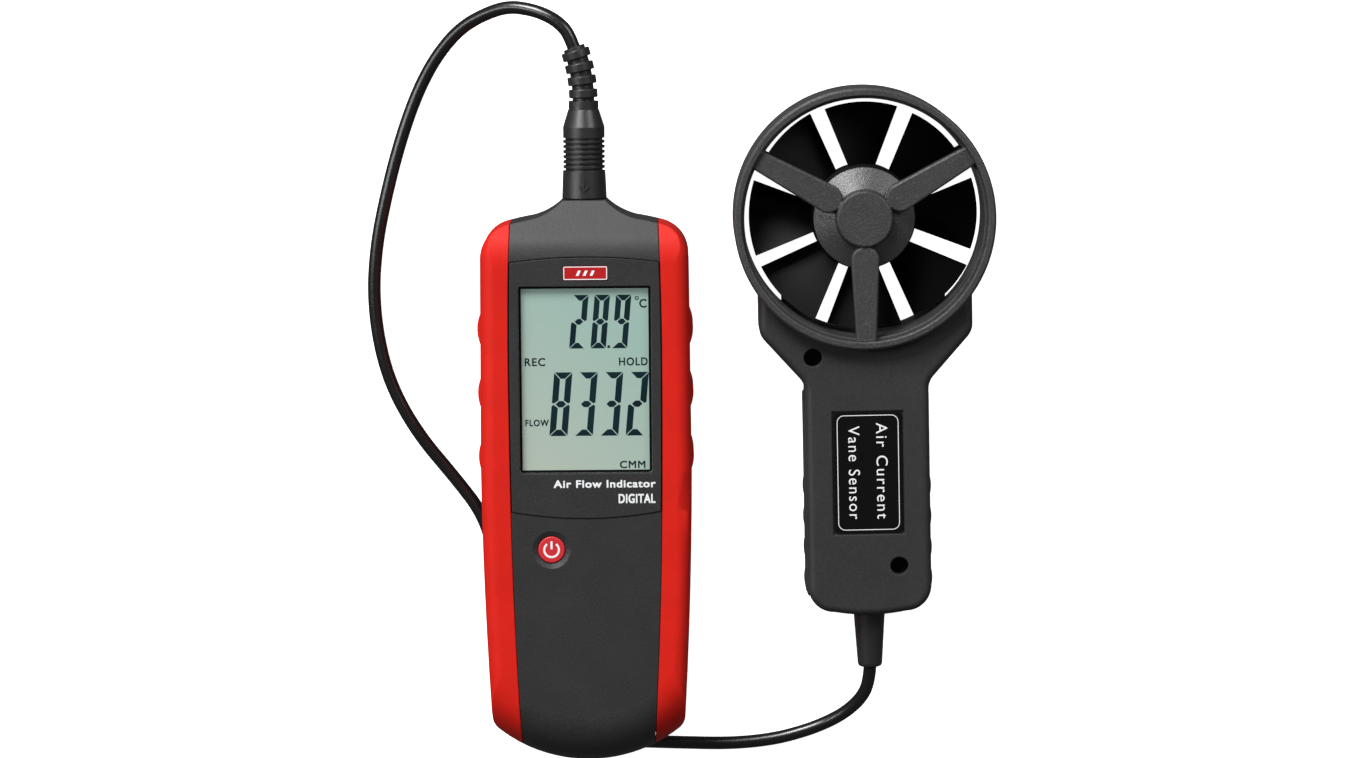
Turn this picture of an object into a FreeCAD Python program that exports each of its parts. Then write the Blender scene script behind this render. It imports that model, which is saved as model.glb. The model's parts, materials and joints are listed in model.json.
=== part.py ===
import FreeCAD, Part
import math
import os

# Vane anemometer: a hand-held meter and a separate vane probe, joined by a cord and a plug.
# Millimetres. Both lie on their backs on the plane z = 0, with the display facing +Z.
# The meter is modelled from its bottom end (x = 0 on its axis, y = 0 at the toe) and the
# probe from the centre of its ring. Each is then moved to its place, and the probe is turned
# by PROBE_LEAN degrees about the centre of its ring.

Vector = FreeCAD.Vector

# Places of the two halves
METER_X = -52.54
METER_Y = -117.76
PROBE_X = 45.03
PROBE_Y = 72.76
PROBE_LEAN = 0.75

# Meter
METER_LENGTH = 198.0
METER_HALF_WIDTH = 36.75
FACE_Z = 41.0
REAR_Z = 6.5
PARTING_Z = 22.0
HIP_Y = 104.0
WAIST_HALF_WIDTH = 35.75
WAIST_Y = 57.0
FOOT_HALF_WIDTH = 33.6
FOOT_CORNER = 9.0
TOE_RADIUS = 51.5
TOE_FRONT_ROUND = 17.0
TOE_BACK_ROUND = 11.0
SHOULDER_HALF = 36.1
SHOULDER_TOP_Y = 187.2
SHOULDER_CORNER = 12.0
CROWN_Y = 193.4
NOSE_HALF_WIDTH = 7.5
NOSE_ROOT = (18.5, 191.75)
NOSE_FLANK = (12.2, 194.3)
NOSE_BASE_Y = 180.0
NOSE_SLOPE_Y = 182.0
NOSE_SLOPE_ROUND = 20.0
NOSE_FRONT_Z = 31.5
NOSE_REAR_Z = 12.5
EDGE_ROUND = 5.0
BACK_ROUND = 4.0
WALL = 2.2

# Edge of the black panel between the two grips, from the toe to the nose
PANEL_EDGE = [(22.8, -2.0), (24.9, 39.6), (26.1, 76.0), (26.6, 115.0), (26.6, 160.0), (25.3, 200.0)]
PANEL_GAP = 0.2

# Grips
GRIP_THICKNESS = 3.4
GRIP_REAR_Z = 10.0
BUMP_RADIUS = 14.0
GRIP_BUMP_PROUD = 0.8
GRIP_BUMP_ROOT_X = 33.6
GRIP_BUMP_PLACES_Y = (109.0, 131.3, 153.6)
GRIP_BUMP_Z = (14.0, 33.0)

# A box with room to spare round the whole meter
AROUND_X = (-60.0, 60.0)
AROUND_Y = (-10.0, 210.0)
AROUND_Z = (-5.0, 60.0)

# Display
WINDOW_HALF_WIDTH = 23.0
WINDOW_LOW_Y = 103.8
WINDOW_HIGH_Y = 169.0
BEZEL_THICKNESS = 2.2
BEZEL_PROUD = 0.4
WINDOW_CORNER = 0.8
SEAM_GAP = 0.25
SEAM_HALF_WIDTH = 26.0
SEAM_LOW_ENDS_Y = 90.3
SEAM_LOW_MIDDLE_Y = 87.9
SEAM_HIGH_ENDS_Y = 177.4
SEAM_HIGH_MIDDLE_Y = 179.2
LENS_THICKNESS = 1.2
LENS_LIFT = 0.5
GLASS_THICKNESS = 2.2
GLASS_HALF_WIDTH = 25.0
GLASS_OVERLAP_Y = 2.0
GLASS_ROOM = 0.4
GUIDE_HALF_WIDTH = 24.0
GUIDE_THICKNESS = 2.4
GUIDE_INSET_Y = 2.0
STRIP_SIZE = (46.0, 2.0)
STRIP_PLACES_Y = (102.2, 169.0)
BADGE_PLACE = (0.4, 173.6)
BADGE_SIZE = (15.4, 4.9)
BADGE_DEPTH = 0.5
BADGE_PROUD = 0.25

# Power button
BUTTON_X = -12.3
BUTTON_Y = 77.0
BUTTON_RADIUS = 4.7
BUTTON_GAP = 0.2
BUTTON_CAP_Z = (36.8, 40.4)
BUTTON_CAP_ROUND = 0.5
BUTTON_COLLAR_Z = (36.6, 38.2)
BUTTON_STEM_RADIUS = 1.8
BUTTON_STEM_Z = (34.2, 36.9)
DISH_RADIUS = 6.6
DISH_DEPTH = 1.5

# Meter's inside
BOARD_Z = 26.0
BOARD_THICKNESS = 1.6
BOARD_HALF_WIDTH = 22.5
BOARD_Y = (24.0, 176.0)
BOARD_CORNER = 3.0
BOARD_HOLE_RADIUS = 1.2
BOARD_BOSS_RADIUS = 2.6
BOARD_PILOT_RADIUS = 1.0
BOARD_PILOT_DEPTH = 6.0
BOARD_SCREW_RADIUS = 0.95
BOARD_SCREW_HEAD = (2.0, 1.2)
BOARD_SCREW_LENGTH = 5.0
CASE_BOSS_RADIUS = 3.8
CASE_PILOT_RADIUS = 1.4
CASE_PILOT_TOP_Z = 31.2
CASE_SCREW_HOLE_RADIUS = 1.6
CASE_SCREW_WELL_RADIUS = 3.1
CASE_SCREW_RADIUS = 1.35
CASE_SCREW_HEAD_RADIUS = 2.8
CASE_SCREW_HEAD_Z = (8.4, 10.0)
CASE_SCREW_TIP_Z = 30.0
CASE_SCREW_PLACES = [(-27.0, 32.0), (27.0, 32.0), (-27.0, 168.0), (27.0, 168.0)]
BOARD_SCREW_PLACES = [(-19.0, 33.0), (19.0, 33.0), (-19.0, 94.0), (19.0, 94.0)]
CAVITY_SIDE_WALL = 2.8
CAVITY_LOW_Y = 10.0
CAVITY_STEP_Y = 83.0
CAVITY_HIGH_Y = 178.0
BUZZER_PLACE = (8.0, 50.0)
BUZZER_RADIUS = 6.0
BUZZER_HEIGHT = 6.5
BUZZER_PORT = (1.0, 2.5)
SWITCH_SIZE = (6.2, 6.2)
SWITCH_HEIGHT = 4.2
SWITCH_STEM_RADIUS = 1.7
SWITCH_TOP_Z = 33.2

# Meter's back
BELLY_HALF_WIDTH = 22.5
BELLY_LOW_Y = 20.0
BELLY_HIGH_Y = 162.0
BELLY_CORNER = 8.0
BELLY_RIM_ROUND = 1.5
BELLY_ROOM_TOP_Z = 12.0
STAND_ROOM_Y = (87.0, 170.0)
STAND_ROOM_LOW_Z = 7.2
SIDE_ROOM_HIGH_Y = 94.0
SIDE_ROOM_LOW_Z = 3.6
DOOR_HALF_WIDTH = 17.0
DOOR_LOW_Y = 24.0
DOOR_HIGH_Y = 83.5
DOOR_THICKNESS = 1.8
DOOR_RECESS = 0.2
DOOR_GAP = 0.2
DOOR_LEDGE = 2.2
DOOR_CORNER = 2.5
DOOR_SCREW_Y = 27.6
DOOR_SCREW_HEAD_RADIUS = 2.5
DOOR_SCREW_HEAD_HEIGHT = 0.8
DOOR_SCREW_RADIUS = 1.25
DOOR_SCREW_TIP_Z = 7.0
DOOR_GROOVE_COUNT = 5
DOOR_GROOVE_SIZE = (16.0, 1.0)
DOOR_GROOVE_DEPTH = 0.5
DOOR_GROOVE_FIRST_Y = 62.0
DOOR_GROOVE_PITCH = 3.0
BATTERY_ROOM_HALF_WIDTH = 14.4
BATTERY_ROOM_Y = (30.6, 85.8)
BATTERY_SIDE_WALL = 2.0
BATTERY_END_WALL = 1.6
BATTERY_WALL_Z = (3.0, 20.5)
BATTERY = (26.5, 48.5, 17.5)
BATTERY_ROUND = 1.6
STUD_RADIUS = 2.8
STUD_PLACES_X = (-6.35, 6.35)
SNAP_HALF_WIDTH = 12.6
SNAP_THICKNESS = 3.4
SNAP_HALF_HEIGHT = 7.0
SNAP_LEAD_RADIUS = 0.55
BATTERY_LOW_Y = 31.6
BATTERY_LOW_Z = 2.3
STAND_HALF_WIDTH = 15.0
STAND_LOW_Y = 98.0
STAND_AXIS_Y = 151.0
STAND_AXIS_Z = 2.5
STAND_PLATE_Z = (0.4, 2.2)
STAND_CORNER = 1.2
STAND_BARREL_RADIUS = 2.0
STAND_WINDOW_HALF_WIDTH = 9.0
STAND_WINDOW_CORNER = 3.0
STAND_NOTCH_RADIUS = 5.0
STAND_GAP = 0.4
STAND_PIN_RADIUS = 1.0
STAND_PIN_REACH = STAND_HALF_WIDTH + 3.0
BUSH_Y = 89.2
BUSH_RADIUS = 4.2
TRIPOD_BORE_RADIUS = 3.175
BUSH_TOP_Z = 10.0
BUSH_FLOOR = 1.2
BUSH_WALL = 1.0

# Jack and plug, round an axis along Y at the parting plane
JACK_RADIUS = 6.9
JACK_BACK_Y = 180.0
JACK_FRONT_Y = 197.5
SHIELD_RADIUS = 4.75
SHIELD_INNER_RADIUS = 4.15
SHIELD_DEPTH = 8.8
RUNNING_CLEARANCE = 0.05
PIN_RADIUS = 0.5
PIN_CIRCLE = 2.1
JACK_LEAD_RADIUS = 0.4
PLUG_Y = METER_LENGTH + 0.1
PLUG_SEAT_DEPTH = 6.0
PLUG_INSERT_DEPTH = 9.0
PLUG_CORD_GRIP = 12.0
PLUG_RIBS_LENGTH = 12.3
PLUG_RIBS_Y = PLUG_Y + 9.8
PLUG_CONE_Y = PLUG_RIBS_Y + 15.2
PLUG_COLLAR_Y = PLUG_CONE_Y + 6.0
PLUG_END_Y = PLUG_COLLAR_Y + 3.0
PLUG_BASE_RADIUS = 7.8
PLUG_RADIUS = 7.25
PLUG_GROOVE_DEPTH = 0.75
PLUG_COLLAR_RADIUS = 5.2
PLUG_RIB_COUNT = 7
RELIEF_BEND_RADIUS = 56.0
RELIEF_SLEEVE_RADIUS = 3.8
RELIEF_RIB_RADIUS = 5.0
RELIEF_RIBS_FROM = 2.6
RELIEF_RIB_PITCH = 4.6
RELIEF_RIB_COUNT = 4
RELIEF_RIB_HALF = 1.45
RELIEF_RIB_ROUND = 0.35
RELIEF_TAIL = 2.6

# Probe
RING_RADIUS = 45.7
RIM_RADIUS = 42.9
DUCT_RADIUS = 41.9
WIRE_CHANNEL_RADIUS = 40.6
RING_DEPTH = 30.0
FRONT_SEAT_Z = 24.0
BACK_SEAT_Z = 4.0
RING_LIP = 0.7
LUG_HALF_WIDTH = 9.0
LUG_Y = (-58.0, -44.0)
LUG_Z = (5.0, 18.0)
LUG_GAP = 0.1
WIRE_Z = 14.5
HANDLE_DEPTH = 24.0
HANDLE_SEAM_Z = 12.0
HANDLE_TOP_Y = -22.0
HANDLE_BOW = 1.2
HANDLE_TURN_ROUND = 7.0
HANDLE_FRONT_ROUND = 2.6
HANDLE_BACK_ROUND = 3.2
HANDLE_HALF_WIDTH = 21.7
PAD_HALF_WIDTH = 22.3
PAD_Y = (-134.0, -61.5)
PAD_Z = (3.4, 11.6)
PAD_CORNER = 1.6
PAD_BUMP_PROUD = 0.4
PAD_BUMP_PLACES_Y = (-96.0, -107.0, -118.0, -129.0)
PAD_BUMP_Z = (4.0, 10.6)
SHOULDER_HALF_WIDTH = 37.4
SHOULDER_Y = -40.4
NECK_Y = -58.0
HANDLE_END_Y = -140.4
HANDLE_CORNER = 9.0
LABEL_RECESS = (25.2, 43.8, 0.9)
LABEL_Y = -89.6
LABEL_GAP = 0.6
LABEL_THICKNESS = 0.5
PROBE_SCREW_PLACES = [(-18.8, -48.6), (10.4, -122.8)]
PROBE_BOSS_RADIUS = 4.2
PROBE_SCREW_WELL_RADIUS = 3.2
PROBE_SCREW_HOLE_RADIUS = 1.6
PROBE_PILOT_RADIUS = 1.25
PROBE_SCREW_RADIUS = 1.2
PROBE_SCREW_HEAD_RADIUS = 2.9
PROBE_SCREW_HEAD_Z = (16.8, 18.5)
PROBE_SCREW_TIP_Z = 5.0
PROBE_BOARD_Z = (6.5, 8.1)
PROBE_RELIEF_LENGTH = 20.2
PROBE_RELIEF_RADIUS = 5.55
FLANGE_RADIUS = 7.2
FLANGE_FROM = 3.9
FLANGE_TO = 5.9

# Vane
BLADE_COUNT = 8
BLADE_TIP_RADIUS = 40.1
BLADE_GAP = 3.9
BLADE_LOW_Z = 6.0
BLADE_HIGH_Z = 17.0
BLADE_THICKNESS = 0.9
HUB_RADIUS = 18.4
HUB_WALL = 1.6
HUB_BOSS_RADIUS = 3.2
HUB_LOW_Z = 5.6
HUB_WEB_Z = 15.4
HUB_TOP_Z = 17.4
HUB_BEVEL = 0.8
MAGNET_RADIUS = 1.5
MAGNET_X = 11.0
AXLE_RADIUS = 1.0
AXLE_Z = (1.8, 24.2)
BEARING_RADIUS = 2.6
FRONT_BEARING_Z = (21.2, 24.5)
REAR_BEARING_Z = (1.6, 4.2)
DOME_RADIUS = 17.7
DOME_LOW_Z = 21.0
BOSS_RADIUS = 9.9
BOSS_TOP_Z = 29.3
FRONT_HOOP_TOP_Z = 26.2
FRONT_SPOKE_Z = (22.6, 28.4)
FRONT_SPOKE_BEVEL = 0.5
REAR_DISC_RADIUS = 15.5
REAR_HOOP_LOW_Z = 0.8
REAR_SPOKE_Z = (0.8, 3.8)
REAR_SPOKE_START = 8.0
REAR_SPOKE_WIDTHS = (8.0, 6.0)
WIRE_CHANNEL_HALF_WIDTH = 29.0
WIRE_CHANNEL_Y = (-45.0, -26.0)
BEAD_RADIUS = 1.5
BEAD_Y = -39.0
BEAD_Z = 20.5
BEAD_STEM_RADIUS = 1.1
SPOKE_ANGLES = (30.0, 150.0, 270.0)
SPOKE_WIDTH_INNER = 9.8
SPOKE_WIDTH_OUTER = 6.8

# Cord: the points of its route, each a corner between two straight runs
CORD_RADIUS = 2.3
CORD_ROUTE = [
    (47.13, -87.63, 12.0),
    (46.75, -93.8, 10.8),
    (44.2, -99.9, 8.2),
    (38.9, -105.4, 5.2),
    (32.5, -109.4, 3.1),
    (24.2, -112.8, 2.3),
    (12.6, -115.8, 2.3),
    (-2.4, -117.2, 2.3),
    (-19.9, -116.7, 2.3),
    (-38.0, -116.0, 2.3),
    (-55.6, -115.4, 2.3),
    (-69.6, -112.4, 2.3),
    (-80.3, -103.6, 2.3),
    (-84.4, -88.0, 2.3),
    (-84.7, -70.3, 2.3),
    (-85.8, -50.3, 2.3),
    (-89.9, -33.8, 2.3),
    (-100.4, -19.8, 2.3),
    (-112.4, -5.3, 2.3),
    (-121.7, 11.2, 2.3),
    (-126.4, 27.7, 2.3),
    (-128.2, 46.2, 2.3),
    (-126.6, 64.2, 2.3),
    (-123.0, 80.7, 2.3),
    (-119.0, 95.7, 2.3),
    (-114.6, 109.0, 2.4),
    (-109.7, 120.6, 3.2),
    (-103.7, 130.6, 5.2),
    (-96.2, 139.1, 8.2),
    (-87.9, 144.1, 11.8),
    (-78.8, 147.2, 15.9),
    (-70.4, 146.1, 19.0),
    (-64.3, 143.8, 20.8),
    (-60.0, 140.8, 21.7),
    (-57.34, 137.34, 22.0),
    (-55.74, 132.94, 22.0),
]


# ---------------------------------------------------------------- shapes used throughout

def box(x_range, y_range, z_range):
    corner = Vector(x_range[0], y_range[0], z_range[0])
    size = [high - low for low, high in (x_range, y_range, z_range)]
    return Part.makeBox(size[0], size[1], size[2], corner)


def centred_box(centre, size, z_range):
    half_x = size[0] / 2
    half_y = size[1] / 2
    x_range = (centre[0] - half_x, centre[0] + half_x)
    y_range = (centre[1] - half_y, centre[1] + half_y)
    return box(x_range, y_range, z_range)


def rod_between(radius, start, end):
    start = Vector(*start)
    line = Vector(*end).sub(start)
    return Part.makeCylinder(radius, line.Length, start, line)


def rod_z(radius, centre, z_range):
    return rod_between(radius, (centre[0], centre[1], z_range[0]), (centre[0], centre[1], z_range[1]))


def rod_y(radius, y_range, x=0.0, z=PARTING_Z):
    return rod_between(radius, (x, y_range[0], z), (x, y_range[1], z))


def ring_z(outer, inner, z_range, centre=(0.0, 0.0)):
    margin = 1.0
    bore = rod_z(inner, centre, (z_range[0] - margin, z_range[1] + margin))
    return rod_z(outer, centre, z_range).cut(bore)


def turned_y(profile, x=0.0, z=PARTING_Z):
    """Solid turned about the line along Y at x, z. The profile is a list of (y, radius)."""
    points = [Vector(x + radius, y, z) for y, radius in profile]
    points.insert(0, Vector(x, profile[0][0], z))
    points.append(Vector(x, profile[-1][0], z))
    points.append(points[0])
    return Part.Face(Part.makePolygon(points)).revolve(Vector(x, 0, z), Vector(0, 1, 0), 360)


def turned_z(profile):
    """Solid turned about Z. The profile is a list of (radius, z), closed along the axis."""
    points = [Vector(radius, 0, z) for radius, z in profile]
    points.append(points[0])
    return Part.Face(Part.makePolygon(points)).revolve(Vector(0, 0, 0), Vector(0, 0, 1), 360)


def slab(edges, z_range):
    """Solid between two heights, over a closed outline of edges in the XY plane."""
    face = Part.Face(Part.Wire(Part.__sortEdges__(edges)))
    face.translate(Vector(0, 0, z_range[0]))
    return face.extrude(Vector(0, 0, z_range[1] - z_range[0]))


def line(start, end):
    return Part.LineSegment(Vector(*start), Vector(*end)).toShape()


def arc(start, middle, end):
    return Part.Arc(Vector(*start), Vector(*middle), Vector(*end)).toShape()


def curve(points):
    spline = Part.BSplineCurve()
    spline.interpolate([Vector(*point) for point in points])
    return spline.toShape()


def rounded_box(x_range, y_range, z_range, corner):
    block = box(x_range, y_range, z_range)
    return block.makeFillet(corner, upright_edges(block))


def upright_edges(shape):
    """Edges that stand along Z."""
    found = []
    for edge in shape.Edges:
        direction = edge.Vertexes[-1].Point.sub(edge.Vertexes[0].Point)
        if math.hypot(direction.x, direction.y) < 1e-6 and abs(direction.z) > 1e-6:
            found.append(edge)
    return found


def mirrored_x(points):
    return [(-point[0],) + tuple(point[1:]) for point in reversed(points)]


def fused(shapes):
    return shapes[0].multiFuse(shapes[1:]).removeSplitter()


def group(solids):
    return Part.makeCompound(solids)


def bent_rod(points, radius):
    """Round rod along straight runs, joined by arcs as large as the runs allow."""
    corners = [Vector(*point) for point in points]
    edges = []
    radii = []
    here = corners[0]
    for before, corner, after in zip(corners, corners[1:], corners[2:]):
        into = corner.sub(before)
        out = after.sub(corner)
        turn = into.getAngle(out)
        setback = 0.45 * min(into.Length, out.Length)
        radii.append(setback / math.tan(turn / 2))
        into.normalize()
        out.normalize()
        start = corner.sub(into.multiply(setback))
        end = corner.add(out.multiply(setback))
        bisector = start.add(end).multiply(0.5).sub(corner)
        sagitta = radii[-1] / math.cos(turn / 2) - radii[-1]
        bisector.normalize()
        middle = corner.add(bisector.multiply(sagitta))
        edges.append(Part.LineSegment(here, start).toShape())
        edges.append(Part.Arc(start, middle, end).toShape())
        here = end
    edges.append(Part.LineSegment(here, corners[-1]).toShape())
    path = Part.Wire(edges)
    direction = corners[1].sub(corners[0])
    section = Part.Wire(Part.makeCircle(radius, corners[0], direction))
    return path.makePipeShell([section], True, False), path.Length, radii


# ---------------------------------------------------------------- the meter's outer form

def body_prism(side_inset, z_range, rim_rounds):
    """The meter seen from the front, without its nose, with its two rims rounded."""
    half = METER_HALF_WIDTH - side_inset
    toe_radius = TOE_RADIUS - side_inset
    foot_x = FOOT_HALF_WIDTH - side_inset
    foot = (foot_x, TOE_RADIUS - math.sqrt(toe_radius ** 2 - foot_x ** 2))
    shoulder = SHOULDER_HALF - side_inset
    top = SHOULDER_TOP_Y - side_inset
    crown = (0, CROWN_Y - side_inset, 0)
    edges = [arc((-foot[0], foot[1], 0), (0, side_inset, 0), (foot[0], foot[1], 0))]
    edges.append(arc((shoulder, top, 0), crown, (-shoulder, top, 0)))
    for side in (1, -1):
        waist = (side * (WAIST_HALF_WIDTH - side_inset), WAIST_Y, 0)
        hip = (side * half, HIP_Y, 0)
        edges.append(arc((side * foot[0], foot[1], 0), waist, hip))
        edges.append(line(hip, (side * shoulder, top, 0)))
    prism = slab(edges, z_range)
    feet = [edge for edge in upright_edges(prism) if edge.Vertexes[0].Point.y < WAIST_Y]
    prism = prism.makeFillet(FOOT_CORNER - 0.6 * side_inset, feet)
    shoulders = [edge for edge in upright_edges(prism) if edge.Vertexes[0].Point.y > NOSE_BASE_Y]
    prism = prism.makeFillet(SHOULDER_CORNER - side_inset, shoulders)
    for z, rounding in zip(z_range, rim_rounds):
        if rounding > 0:
            prism = prism.makeFillet(rounding, flat_edges(prism, z)[:1])
    return prism


def flat_edges(shape, z):
    """Edges that lie flat at one height."""
    found = []
    for edge in shape.Edges:
        bounds = edge.BoundBox
        if abs(bounds.ZMin - z) < 0.01 and abs(bounds.ZMax - z) < 0.01:
            found.append(edge)
    return found


def nose_prism(side_inset, z_range):
    """Nose round the jack, with hollow flanks."""
    end_y = METER_LENGTH - side_inset
    root = (NOSE_ROOT[0], NOSE_ROOT[1] - side_inset)
    edges = [line((-NOSE_HALF_WIDTH, end_y, 0), (NOSE_HALF_WIDTH, end_y, 0))]
    edges.append(line((-root[0], NOSE_BASE_Y, 0), (root[0], NOSE_BASE_Y, 0)))
    for side in (1, -1):
        tip = (side * NOSE_HALF_WIDTH, end_y, 0)
        flank = (side * NOSE_FLANK[0], NOSE_FLANK[1] - side_inset, 0)
        edges.append(arc(tip, flank, (side * root[0], root[1], 0)))
        edges.append(line((side * root[0], NOSE_BASE_Y, 0), (side * root[0], root[1], 0)))
    return slab(edges, z_range)


def side_prism(face_inset):
    """The meter seen from its side: flat face and back, sloping nose."""
    face = FACE_Z - face_inset
    back = REAR_Z + face_inset
    end_y = METER_LENGTH - face_inset
    corners = [(AROUND_Y[0], face), (NOSE_SLOPE_Y, face), (end_y, NOSE_FRONT_Z - face_inset)]
    corners += [(end_y, NOSE_REAR_Z + face_inset), (NOSE_SLOPE_Y, back), (AROUND_Y[0], back)]
    points = [Vector(AROUND_X[0], y, z) for y, z in corners]
    points.append(points[0])
    across = Vector(AROUND_X[1] - AROUND_X[0], 0, 0)
    prism = Part.Face(Part.makePolygon(points)).extrude(across)
    for z in (face, back):
        prism = prism.makeFillet(NOSE_SLOPE_ROUND, crosswise_edges(prism, NOSE_SLOPE_Y, z))
    return prism


def toe_form(inset):
    """Round of the toe: a disc with rounded rims under the toe, and all that lies above it."""
    face = FACE_Z - inset
    back = REAR_Z + inset
    radius = TOE_RADIUS - inset
    disc = rod_z(radius, (0, TOE_RADIUS), (back, face))
    for z, rounding in ((face, TOE_FRONT_ROUND), (back, TOE_BACK_ROUND)):
        disc = disc.makeFillet(rounding - inset, flat_edges(disc, z)[:1])
    return disc.fuse(box(AROUND_X, (TOE_RADIUS, AROUND_Y[1]), (back, face)))


def crosswise_edges(shape, y, z):
    """Edges along X at one place."""
    found = []
    for edge in shape.Edges:
        bounds = edge.BoundBox
        if bounds.XLength > 1 and math.hypot(bounds.Center.y - y, bounds.Center.z - z) < 0.01:
            found.append(edge)
    return found


def meter_form(side_inset, face_inset, rim_rounds=(0, 0)):
    """The meter's outer form, moved inwards at its sides and at its front and back."""
    z_range = (REAR_Z + face_inset, FACE_Z - face_inset)
    body = body_prism(side_inset, z_range, rim_rounds)
    form = body.fuse(nose_prism(side_inset, z_range)).common(side_prism(face_inset))
    return form.common(toe_form(min(side_inset, face_inset)))


def meter_skin():
    return meter_form(0, 0, (BACK_ROUND, EDGE_ROUND))


def panel_outline(inset):
    """Black panel between the two grips, as a closed list of edges."""
    right = [(x - inset, y, 0) for x, y in PANEL_EDGE]
    left = mirrored_x(right)
    return [curve(right), line(right[-1], left[0]), curve(left), line(left[-1], right[0])]


def panel_prism(inset, z_range):
    return slab(panel_outline(inset), z_range)


def above(shape, z):
    return shape.common(box(AROUND_X, AROUND_Y, (z, AROUND_Z[1])))


def below(shape, z):
    return shape.common(box(AROUND_X, AROUND_Y, (AROUND_Z[0], z)))


# ---------------------------------------------------------------- red grips

def grip(side):
    """One rubber grip. It wraps from the black panel round the flank to the back."""
    skin = meter_skin()
    core = meter_form(GRIP_THICKNESS, GRIP_THICKNESS)
    side_x = (0, AROUND_X[1]) if side > 0 else (AROUND_X[0], 0)
    region = box(side_x, AROUND_Y, (GRIP_REAR_Z, AROUND_Z[1]))
    body = skin.common(region).cut(core).cut(panel_prism(0, AROUND_Z))
    centre_x = side * (METER_HALF_WIDTH + GRIP_BUMP_PROUD - BUMP_RADIUS)
    clear_of_core = box((-GRIP_BUMP_ROOT_X, GRIP_BUMP_ROOT_X), AROUND_Y, AROUND_Z)
    for bump_y in GRIP_BUMP_PLACES_Y:
        bump = rod_z(BUMP_RADIUS, (centre_x, bump_y), GRIP_BUMP_Z).cut(clear_of_core)
        body = body.fuse(bump)
    return body.removeSplitter()


# ---------------------------------------------------------------- cases

def case_block():
    """Both cases together, before they are parted and hollowed."""
    skin = meter_skin()
    core = meter_form(GRIP_THICKNESS, GRIP_THICKNESS)
    panel = skin.common(panel_prism(PANEL_GAP, AROUND_Z))
    back = below(skin, GRIP_REAR_Z)
    return fused([core, panel, back])


def front_cavity():
    inset = GRIP_THICKNESS + WALL
    low = meter_form(inset, inset)
    overlap = 1.0
    lower_y = (CAVITY_LOW_Y, CAVITY_STEP_Y + overlap)
    lower_half = box(AROUND_X, lower_y, (PARTING_Z - 1, FACE_Z - WALL))
    upper_half = box(AROUND_X, (CAVITY_STEP_Y, CAVITY_HIGH_Y), (PARTING_Z - 1, FACE_Z - 2 * WALL))
    within_panel = panel_prism(CAVITY_SIDE_WALL, (PARTING_Z - 1, FACE_Z))
    tall = fused([lower_half, upper_half]).common(within_panel)
    tall = tall.common(meter_form(inset, WALL))
    return fused([above(low, PARTING_Z - 1), tall])


def seam_edges(gap):
    """Outline of the middle panel between the two curved seams, moved in by the gap."""
    reach = 40.0
    low_ends = SEAM_LOW_ENDS_Y + gap
    low_middle = SEAM_LOW_MIDDLE_Y + gap
    high_ends = SEAM_HIGH_ENDS_Y - gap
    high_middle = SEAM_HIGH_MIDDLE_Y - gap
    rise = (reach / SEAM_HALF_WIDTH) ** 2
    low_far = low_middle + rise * (low_ends - low_middle)
    high_far = high_middle + rise * (high_ends - high_middle)
    return [
        arc((-reach, low_far, 0), (0, low_middle, 0), (reach, low_far, 0)),
        line((reach, low_far, 0), (reach, high_far, 0)),
        arc((reach, high_far, 0), (0, high_middle, 0), (-reach, high_far, 0)),
        line((-reach, high_far, 0), (-reach, low_far, 0)),
    ]


def bezel_prism(gap, z_range):
    return slab(seam_edges(gap), z_range).common(panel_prism(PANEL_GAP + gap, z_range))


def lcd_pocket():
    half_width = GLASS_HALF_WIDTH + GLASS_ROOM
    margin = GLASS_OVERLAP_Y + GLASS_ROOM
    x_range = (-half_width, half_width)
    y_range = (WINDOW_LOW_Y - margin, WINDOW_HIGH_Y + margin)
    return box(x_range, y_range, (BOARD_Z, FACE_Z - BEZEL_THICKNESS + 0.01))


def case_bosses(z_range, radius):
    return [rod_z(radius, place, z_range) for place in CASE_SCREW_PLACES]


def front_case():
    case = above(case_block(), PARTING_Z).cut(front_cavity())
    bosses = case_bosses((PARTING_Z, FACE_Z - 4), CASE_BOSS_RADIUS)
    board_top = BOARD_Z + BOARD_THICKNESS
    board_boss_z = (board_top, FACE_Z - 1)
    bosses += [rod_z(BOARD_BOSS_RADIUS, place, board_boss_z) for place in BOARD_SCREW_PLACES]
    case = fused([case] + bosses)
    case = case.cut(bezel_prism(0, (FACE_Z - BEZEL_THICKNESS, FACE_Z + 5)))
    case = case.cut(lcd_pocket())
    case = case.cut(group(case_bosses((PARTING_Z - 1, CASE_PILOT_TOP_Z), CASE_PILOT_RADIUS)))
    pilot = (board_top - 1, board_top + BOARD_PILOT_DEPTH)
    case = case.cut(group([rod_z(BOARD_PILOT_RADIUS, place, pilot) for place in BOARD_SCREW_PLACES]))
    case = case.cut(button_openings())
    return case.cut(rod_y(JACK_RADIUS, (JACK_BACK_Y - 3, AROUND_Y[1])))


def button_openings():
    """The button's round hole and the shallow dish about it."""
    centre = (BUTTON_X, BUTTON_Y)
    hole = rod_z(BUTTON_RADIUS + BUTTON_GAP, centre, (BOARD_Z + 4, AROUND_Z[1]))
    ball_radius = (DISH_RADIUS ** 2 + DISH_DEPTH ** 2) / (2 * DISH_DEPTH)
    ball_centre = Vector(BUTTON_X, BUTTON_Y, FACE_Z + ball_radius - DISH_DEPTH)
    return fused([hole, Part.makeSphere(ball_radius, ball_centre)])


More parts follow.
